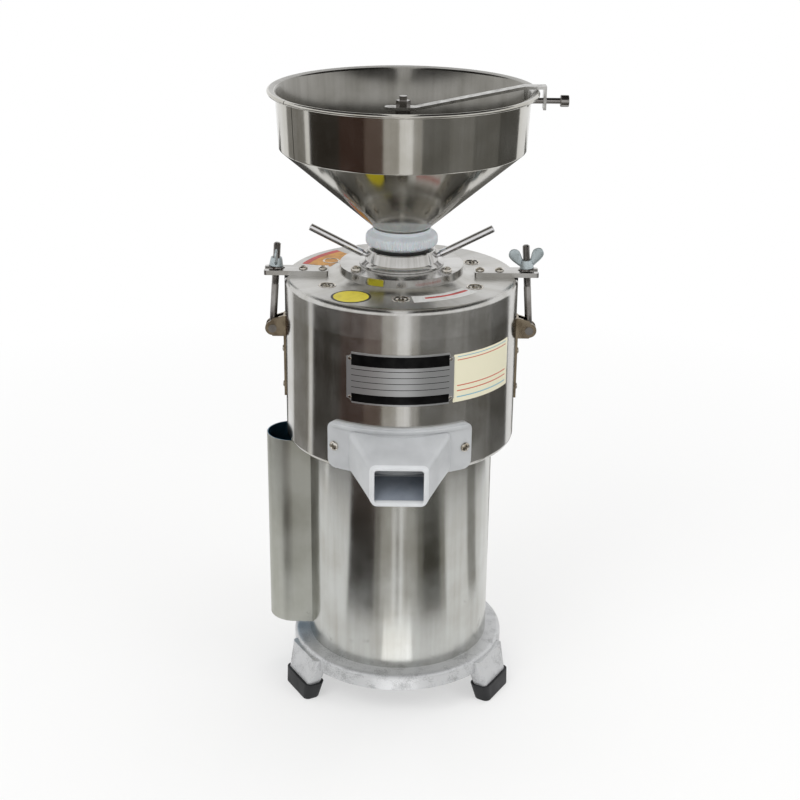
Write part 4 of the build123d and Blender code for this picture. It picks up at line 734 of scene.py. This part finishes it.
class MILL_OT_screw_heads(bpy.types.Operator):
    """Form the domed heads on the spout, the clamp arms and the dial, and the cups of the lid screws"""

    bl_idname = "mill.screw_heads"
    bl_label = "Screw heads"

    def execute(self, context):
        bright = bpy.data.materials["bright_screw"]
        spout_aside, spout_height = 66 * MM, 325 * MM
        arm_reaches = (84 * MM, 105 * MM)
        dial_circle, lid_circle = 55 * MM, 89 * MM
        swing = math.asin(spout_aside / DRUM_RADIUS)
        heads = []
        for side in (-1, 1):
            outward = np.array([side * math.sin(swing), -math.cos(swing), 0])
            centre = outward * (DRUM_RADIUS + FLANGE_THICKNESS) + np.array([0, 0, spout_height])
            heads.append(drive_head("head", centre, outward, 5.2 * MM, 3.0 * MM, 4))
        place(merged("spout_screw_heads", heads), bright, "machine", ("spout_screws",))
        heads = []
        for side in (-1, 1):
            for reach in arm_reaches:
                heads.append(drive_head("head", (side * reach, 0, ARM_TOP), (0, 0, 1), 4.9 * MM, 2.8 * MM, 6))
        place(merged("arm_screw_heads", heads), bright, "machine", ("arm_screws",))
        heads = []
        for turn in np.radians((90.0, 210.0, 330.0)):
            spot = (dial_circle * math.cos(turn), dial_circle * math.sin(turn), DIAL_TOP)
            heads.append(drive_head("head", spot, (0, 0, 1), 5.6 * MM, 3.8 * MM, 6))
        place(merged("dial_bolt_heads", heads), bright, "machine", ("flange_bolts",))
        # each lid screw sits in a polished cup, whose wall falls to its middle
        profile = rounded([
            (0, -3 * MM, 0), (2.9 * MM, -3 * MM, 0), (5.9 * MM, -0.2 * MM, 0), (5.9 * MM, 0, 0),
            (9.4 * MM, 0, 0), (9.2 * MM, 0.5 * MM, 0.3 * MM), (8.2 * MM, 0.55 * MM, 0.4 * MM),
            (3 * MM, -2.2 * MM, 0.8 * MM), (0, -2.2 * MM, 0)])
        cups = []
        for turn in np.radians(np.arange(6) * 60 - 90):
            spot = (lid_circle * math.cos(turn), lid_circle * math.sin(turn), LID_TOP)
            cups.append(turned("cup", profile, 64, spot, crease=50.0, closed=False))
        place(merged("lid_screw_cups", cups), bright, "machine", ("lid_screws",))
        return {"FINISHED"}


def sector(inner, outer, start, end, count=24):
    """The outline of a piece of a ring, between two radii and two angles from the front in degrees."""
    turn = np.radians(np.linspace(start, end, count))
    out = np.column_stack([np.sin(turn), -np.cos(turn)])
    return np.concatenate([out * outer, out[::-1] * inner])


class MILL_OT_labels(bpy.types.Operator):
    """Lay the plain paper and film labels on the drum, the lid and the dial"""

    bl_idname = "mill.labels"
    bl_label = "Labels"

    def execute(self, context):
        wide = bent_plate("drum_label", half_width=41.5 * MM, half_height=LABEL_HALF,
                          centre=(LABEL_ANGLE, LABEL_HEIGHT), radius=DRUM_RADIUS + 0.02 * MM,
                          thickness=0.16 * MM, corner=1.0 * MM, edge=0.05 * MM)
        place(wide, bpy.data.materials["cream_label_paper"], "machine")
        # the lid's labels lie in two layers just above it, with their sizes in millimetres
        under, over = LID_TOP + 0.01 * MM, LID_TOP + 0.05 * MM
        middle, disc = np.array([-51.2, -82.0]), circle(72)
        for name, outline, height, thickness, paper in (
                ("lid_disc_rim", middle + disc * 20.8, under, 0.12, "black_film"),
                ("lid_disc", middle + disc * 18.3, over, 0.16, "yellow_film"),
                ("lid_strip", sector(80, 100, 7.5, 52), under, 0.15, "white_film"),
                ("lid_strip_bar", sector(86.5, 90.5, 16, 50), over, 0.15, "red_film"),
                ("lid_patch", sector(80, 106, -140, -107), under, 0.15, "orange_film"),
                ("lid_patch_edge", sector(106.1, 113, -140, -107), under, 0.15, "red_film")):
            sticker = flat_sticker(name, outline * MM, height, thickness * MM)
            place(sticker, bpy.data.materials[paper], "machine")
        tag = bent_plate("dial_tag", half_width=8.4 * MM, half_height=3.3 * MM,
                         centre=(math.radians(-23.5), 487.2 * MM), radius=66.02 * MM,
                         thickness=0.15 * MM, corner=0.6 * MM, edge=0.05 * MM)
        place(tag, bpy.data.materials["olive_film"], "machine")
        return {"FINISHED"}


class MILL_OT_finishes(bpy.types.Operator):
    """Make the finishes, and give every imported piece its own"""

    bl_idname = "mill.finishes"
    bl_label = "Finishes"

    def execute(self, context):
        steel, colours = context.scene.mill_colours.steel, context.scene.mill_colours
        # mirror-polished stainless sheet: clear reflections with faint upright streaks, and one weld line
        sheet_steel("polished_hopper_steel", "#C4C2BC", "#AEABA2", 0.12, 0.9 * MM, 0.5,
                    seam=(-0.158, 0.0009))
        # painted shade: the same sheet inside, in a darker colour that stands for the shade within the
        # hopper, and rougher from use
        sheet_steel("dull_hopper_inside", "#93918C", "#7C7A74", 0.2, 0.9 * MM, 0.5)
        # stainless turned on a lathe: fine rings that stretch the reflections up and down
        drum = sheet_steel("turned_drum_steel", steel, "#AEABA3", 0.17, 0.35 * MM)
        # the same on the lid's side, with a satin top
        lid = sheet_steel("turned_lid_steel", steel, "#B0AEA8", 0.2, 0.4 * MM, top=(LID_TOP, 0.31))
        # rolled stainless sheet with a satin brush, scratched near its foot
        shell = sheet_steel("brushed_shell_steel", "#C6C7C4", "#B3B2AC", 0.2, 0.5 * MM, scuffs=150 * MM)
        # thin folded sheet, its inside still under a blue film
        box = sheet_steel("side_box_steel", "#BDBEB7", "#A5A59B", 0.42, 0.6 * MM, 0.2,
                          scuffs=120 * MM, lining=(-119 * MM, 28.4 * MM, "#55809A"))
        turned_steel = sheet_steel("turned_steel", "#C9C8C6", "#A8A6A2", 0.17, 0.3 * MM, 0.5)
        strip = small_steel("rolled_strip_steel", "#B9B8B5", "#8E8C88", 0.22, 120.0)
        # ground and chromed rod: hard bright lines along it
        rods = small_steel("ground_rod_steel", "#DCDBDC", "#CCCBCC", 0.06, 60.0, 0.001)
        # bright zinc plate, already a little brown
        zinc = small_steel("zinc_plated_bolt", "#93908D", "#7D7975", 0.14, 90.0, 0.004)
        # zinc die casting, tumbled: pale blue-grey and soft
        cast_metal("cast_zinc", "#B7C1C4", "#87908F", 0.7, 0.36, 0.9 * MM, 0.06 * MM)
        bright = small_steel("bright_screw", "#D0CCC5", "#9A907F", 0.13, 200.0, 0.004)
        # passivated strip steel: yellow-brown with clear highlights
        bronze = small_steel("passivated_clevis_steel", "#9A8E7B", "#776B5A", 0.2, 90.0, 0.006)
        # sand-cast aluminium: grainy, lumpy, bright where it catches the lamps
        cast = cast_metal("sand_cast_aluminium", "#CBCCCD", "#A2A3A4", 0.55, 0.36, 1.6 * MM, 0.28 * MM,
                          1.1 * MM)
        rubber = moulded("moulded_rubber", "#17181B", "#0D0E10", 0.55, 0.8 * MM, 0.04 * MM)
        seal = moulded("seal_rubber", "#0C0C0D", "#070708", 0.4)
        # enamel sprayed on a casting: orange peel under a soft gloss
        moulded("painted_casting", colours.paint, "#B2B4B6", 0.36, 1.8 * MM, 0.1 * MM, Coat_Weight=0.25)
        moulded("rubbed_white_paint", "#DADCDE", "#CBCDD0", 0.4, 1.2 * MM, 0.05 * MM)
        # painted shade: dark blue-grey for the inside of the chute, where shade falls
        moulded("stained_casting", "#8B929C", "#737A84", 0.5, 1.4 * MM, 0.1 * MM)
        # turned nylon: waxy, faintly blue, light passes a little way in
        moulded("turned_nylon", colours.nylon, "#C9D0D6", 0.38, 0.7 * MM, 0.02 * MM, Subsurface_Weight=0.15,
                Subsurface_Scale=0.004)
        black = moulded("moulded_black_plastic", "#131314", "#0C0C0D", 0.4)
        red = moulded("moulded_red_plastic", "#A01712", "#7E100C", 0.3)
        core = cast_metal("core_laminations", "#5B5A58", "#3B3A39", 0.8, 0.5, 0.8 * MM, 0.08 * MM)
        copper = small_steel("varnished_copper", "#A5552B", "#6C3418", 0.35, 200.0)
        stone = moulded("vitrified_grinding_stone", "#8E8A80", "#6F6B62", 0.85, 0.9 * MM, 0.25 * MM)
        low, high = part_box("data_plate")
        silver, ink = "#B4B5B6", "#0B0B0C"
        # silver aluminium sheet with black print
        plate = ruled_print("printed_aluminium_plate", silver, low.z, high.z, high.x * 0.93, 0.0, [
            (0.0, silver), (0.03, ink), (0.195, silver), (0.31, ink), (0.322, silver), (0.43, ink),
            (0.442, silver), (0.55, ink), (0.562, silver), (0.67, ink), (0.682, silver), (0.75, ink),
            (0.965, silver)], metallic=0.85, roughness=0.34, speck="#8C8C8A")
        cream, red_line, blue_line = "#E9E4C9", "#C9694F", "#7FB2C4"
        # coated label paper with plain ruled lines
        ruled_print("cream_label_paper", cream, LABEL_HEIGHT - LABEL_HALF, LABEL_HEIGHT + LABEL_HALF,
                    37 * MM, LABEL_ANGLE / math.tau, [
                        (0.0, cream), (0.09, blue_line), (0.115, cream), (0.22, red_line), (0.245, cream),
                        (0.33, red_line), (0.355, cream), (0.87, red_line), (0.89, cream),
                        (0.94, blue_line), (0.955, cream)],
                    metallic=0.0, roughness=0.42, speck="#DAD5B4")
        film("yellow_film", "#E3D22B", "#CFBE22")
        film("olive_film", "#A39A1C", "#7F7814")
        film("white_film", "#E6E6E4", "#D5D5D2")
        film("red_film", "#C8342B", "#AA2A22")
        film("orange_film", "#DE9A22", "#C27F16")
        film("black_film", "#111110", "#0B0B0B")
        finish_of = {
            "mill_housing": drum, "lid": lid, "motor_shell": shell, "side_box": box,
            "adjusting_flange": turned_steel, "adjusting_collar": turned_steel, "handles": rods,
            "cross_strip": strip, "feed_rod": zinc, "thumb_screw": zinc, "lid_screws": bright,
            "flange_bolts": bright, "lock_screw": turned_steel, "clamp_arm_left": turned_steel,
            "clamp_arm_right": turned_steel, "washer_left": zinc, "washer_right": zinc,
            "clevis_left": bronze, "clevis_right": bronze, "clevis_pins": zinc,
            "clevis_rivets": bright, "plate_rivets": bright, "data_plate": plate,
            "base_casting": cast, "rubber_feet": rubber, "arm_pads": seal, "neck_seal": seal,
            "lid_gasket": seal, "shaft_seal": seal, "cable_gland": black, "capacitor": black,
            "switch_body": black, "switch_rocker": red, "motor_frame": cast, "lower_end_shield": cast,
            "upper_end_shield": cast, "stator_core": core, "rotor_core": core,
            "stator_windings": copper, "motor_bolts": zinc, "lower_bearing": turned_steel,
            "upper_bearing": turned_steel, "motor_shaft": turned_steel, "cooling_fan": black,
            "stone_carrier": turned_steel, "lower_stone": stone, "upper_stone": stone,
            "stone_nut": zinc, "stone_sleeve": turned_steel,
        }
        for node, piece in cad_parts.items():
            finish = finish_of.get(node, zinc)
            for number in range(len(piece.data.materials)):
                piece.data.materials[number] = finish
        return {"FINISHED"}


def reflector(name, outline, height, colour, strength=1.0):
    """A flat card that only reflections see, as a photographer's card does."""
    mesh = bpy.data.meshes.new(name)
    points = np.column_stack([outline, np.full(len(outline), height)])
    mesh.from_pydata(points, [], [list(range(len(points)))])
    card = bpy.data.objects.new(name, mesh)
    material = bpy.data.materials.new(name)
    material.use_nodes = True
    material.node_tree.nodes.clear()
    glow = add_node(material, "ShaderNodeEmission", {"Color": colour, "Strength": strength})
    add_node(material, "ShaderNodeOutputMaterial", {"Surface": glow})
    mesh.materials.append(material)
    bpy.context.scene.collection.objects.link(card)
    card.visible_camera = card.visible_diffuse = card.visible_shadow = card.visible_transmission = False
    card.visible_volume_scatter = False


def studio_rays(owner):
    """1 for rays from the camera, a glossy surface or a clear one, which should meet the plain backdrop."""
    rays = add_node(owner, "ShaderNodeLightPath")
    seen = add_node(owner, "ShaderNodeMath",
                    {0: rays.outputs["Is Camera Ray"], 1: rays.outputs["Is Glossy Ray"]},
                    operation="MAXIMUM")
    return add_node(owner, "ShaderNodeMath", {0: seen, 1: rays.outputs["Is Transmission Ray"]},
                    operation="MAXIMUM")


class MILL_OT_stage(bpy.types.Operator):
    """Lay the pale floor, hang the soft lamps and cards, and set the camera"""

    bl_idname = "mill.stage"
    bl_label = "Stage"

    def execute(self, context):
        scene, colours = context.scene, context.scene.mill_colours
        disc = circle(96)
        edge = np.column_stack([disc * sizes().floor_radius, np.zeros(len(disc))])
        floor_mesh = bpy.data.meshes.new("floor")
        floor_mesh.from_pydata(edge, [], [list(range(len(edge)))])
        floor = bpy.data.objects.new("floor", floor_mesh)
        scene.collection.objects.link(floor)
        # matt paper: white far off, and near the mill it still takes the shadow
        matt, shader = new_material("matt_floor_paper", colours.floor, 0.0, 0.9, Specular_IOR_Level=0.1)
        spot = add_node(matt, "ShaderNodeTexCoord").outputs["Object"]
        away = add_node(matt, "ShaderNodeVectorMath", {0: spot}, operation="LENGTH")
        share = add_node(matt, "ShaderNodeMapRange", {"Value": away, "From Min": 0.25, "From Max": 1.3,
                                                      "To Min": 0.5, "To Max": 1.0})
        share = add_node(matt, "ShaderNodeMath", {0: share, 1: studio_rays(matt)}, operation="MULTIPLY")
        white = add_node(matt, "ShaderNodeEmission", {"Color": colours.sky, "Strength": 1.0})
        blend = add_node(matt, "ShaderNodeMixShader", {0: share, 1: shader, 2: white})
        output = matt.node_tree.nodes["Material Output"]
        matt.node_tree.links.new(live(blend.outputs), output.inputs["Surface"])
        floor_mesh.materials.append(matt)
        # tones of the room, laid on the floor as two rings of cards: the near ring shows in the shell,
        # the far one in the drum, the lid and the hopper. Angles run from the front, right is positive
        low, near, far, wide = 1.5 * MM, 0.3, 0.66, 2.6
        for name, inner, outer, start, end, colour in (
                ("near_left_dark", near, far, -58, -27, "#2B2823"),
                ("near_left_grey", near, far, -27, -20, "#8A8882"),
                ("near_middle_left", near, far, -20, -7, "#BAB8B2"),
                ("near_middle", near, far, -3, 1, "#A5A39E"),
                ("near_middle_right", near, far, 5, 21, "#B3B1AB"),
                ("near_right_grey", near, far, 21, 28, "#77756D"),
                ("near_right_dark", near, far, 28, 48, "#3C3A31"),
                ("near_right_edge", near, far, 48, 55, "#8F8D85"),
                ("near_right_pale", near, far, 88, 104, "#A5A4A0"),
                ("near_back", near, far, 150, 175, "#8A8883"),
                ("far_left_dark", far, wide, -92, -58, "#38342F"),
                ("far_left_brown", far, wide, -58, -34, "#44332C"),
                ("far_left_tan", far, wide, -34, -17, "#695A53"),
                ("far_middle_left", far, wide, -17, -3, "#BDBAB5"),
                ("far_middle_right", far, wide, 9, 17, "#B2B0AC"),
                ("far_right_grey", far, wide, 17, 42, "#767572"),
                ("far_right_pale", far, wide, 42, 66, "#868582"),
                ("far_right_dim", far, wide, 66, 96, "#747370"),
                ("far_right_dark", far, wide, 96, 128, "#5A5956"),
                ("far_back_right", far, wide, 150, 172, "#6A6965"),
                ("far_back_left", far, wide, -176, -150, "#4A4946"),
                ("far_left_edge", far, wide, -128, -98, "#908E8A")):
            reflector(name, sector(inner, outer, start, end), low, colour)
        # a lit patch close in front, which shines in the foot of the shell
        reflector("foot_glow", sector(0.125, 0.29, -15, 14), low, "#FFFFFF", 1.7)
        # a dim ceiling with one bright lane towards the camera, seen in the hopper and on the collar
        reflector("ceiling", disc * 1.7 + (0, -0.3), 1.75, "#3B3A38")
        lane = np.array([(-0.24, -1.9), (0.2, -1.9), (0.06, 1.2), (-0.1, 1.2)])
        reflector("ceiling_lane", lane, 1.74, "#FFFFFF")
        world = bpy.data.worlds.new("studio")
        scene.world = world
        world.use_nodes = True
        world.node_tree.nodes.clear()
        soft = add_node(world, "ShaderNodeBackground", {"Color": "#FFFFFF", "Strength": 0.62})
        back = add_node(world, "ShaderNodeBackground", {"Color": colours.sky, "Strength": 1.0})
        both = add_node(world, "ShaderNodeMixShader", {0: studio_rays(world), 1: soft, 2: back})
        add_node(world, "ShaderNodeOutputWorld", {"Surface": both})
        aim = Vector((0, 0, 0.35))
        for name, spot, size, power in (("key_lamp", (-1.1, -1.5, 2.3), 1.4, 20.0),
                                        ("fill_lamp", (1.6, -1.0, 1.6), 1.2, 9.0),
                                        ("top_lamp", (0.2, 0.4, 2.6), 1.6, 16.0)):
            lamp_data = bpy.data.lights.new(name, "AREA")
            lamp_data.shape, lamp_data.size, lamp_data.energy = "DISK", size, power
            lamp = bpy.data.objects.new(name, lamp_data)
            lamp.location = spot
            lamp.rotation_euler = (aim - Vector(spot)).to_track_quat("-Z", "Y").to_euler()
            lamp.visible_camera = lamp.visible_glossy = False
            scene.collection.objects.link(lamp)
        eye_data = bpy.data.cameras.new("camera")
        eye_data.sensor_width, eye_data.lens = 36.0, sizes().lens
        eye = bpy.data.objects.new("camera", eye_data)
        stand, down, roll = (0, -1.5657, 0.9605), math.radians(21.84), math.radians(0.618)
        look = Vector((0, math.cos(down), -math.sin(down)))
        right = Vector((math.cos(roll), 0, 0)) + Vector((1, 0, 0)).cross(look) * math.sin(roll)
        axes = Matrix((right, right.cross(look), -look)).transposed().to_4x4()
        eye.matrix_world = Matrix.Translation(stand) @ axes
        scene.collection.objects.link(eye)
        scene.camera = eye
        scene.view_settings.view_transform = "Standard"
        return {"FINISHED"}


class MILL_PT_panel(bpy.types.Panel):
    """Lists the pieces of the mill"""

    bl_idname = "MILL_PT_panel"
    bl_label = "Nut butter mill"
    bl_space_type = "VIEW_3D"
    bl_region_type = "UI"
    bl_category = "Mill"

    def draw(self, context):
        for operator in OPERATORS:
            self.layout.operator(operator.bl_idname)
        for group in (context.scene.mill_sizes, context.scene.mill_colours):
            for name in group.__annotations__:
                self.layout.prop(group, name)


OPERATORS = (MILL_OT_stage, MILL_OT_finishes, MILL_OT_hopper, MILL_OT_coupling_ring, MILL_OT_swing_bolts,
             MILL_OT_wing_nuts, MILL_OT_spout, MILL_OT_screw_heads, MILL_OT_labels)
CLASSES = (MillSizes, MillColours, *OPERATORS, MILL_PT_panel)


def register():
    for item in CLASSES:
        bpy.utils.register_class(item)
    bpy.types.Scene.mill_sizes = PointerProperty(type=MillSizes)
    bpy.types.Scene.mill_colours = PointerProperty(type=MillColours)


def unregister():
    del bpy.types.Scene.mill_colours
    del bpy.types.Scene.mill_sizes
    for item in reversed(CLASSES):
        bpy.utils.unregister_class(item)


def main():
    """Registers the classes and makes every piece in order."""
    register()
    for operator in OPERATORS:
        group, name = operator.bl_idname.split(".")
        getattr(getattr(bpy.ops, group), name)()


if __name__ == "__main__":
    main()
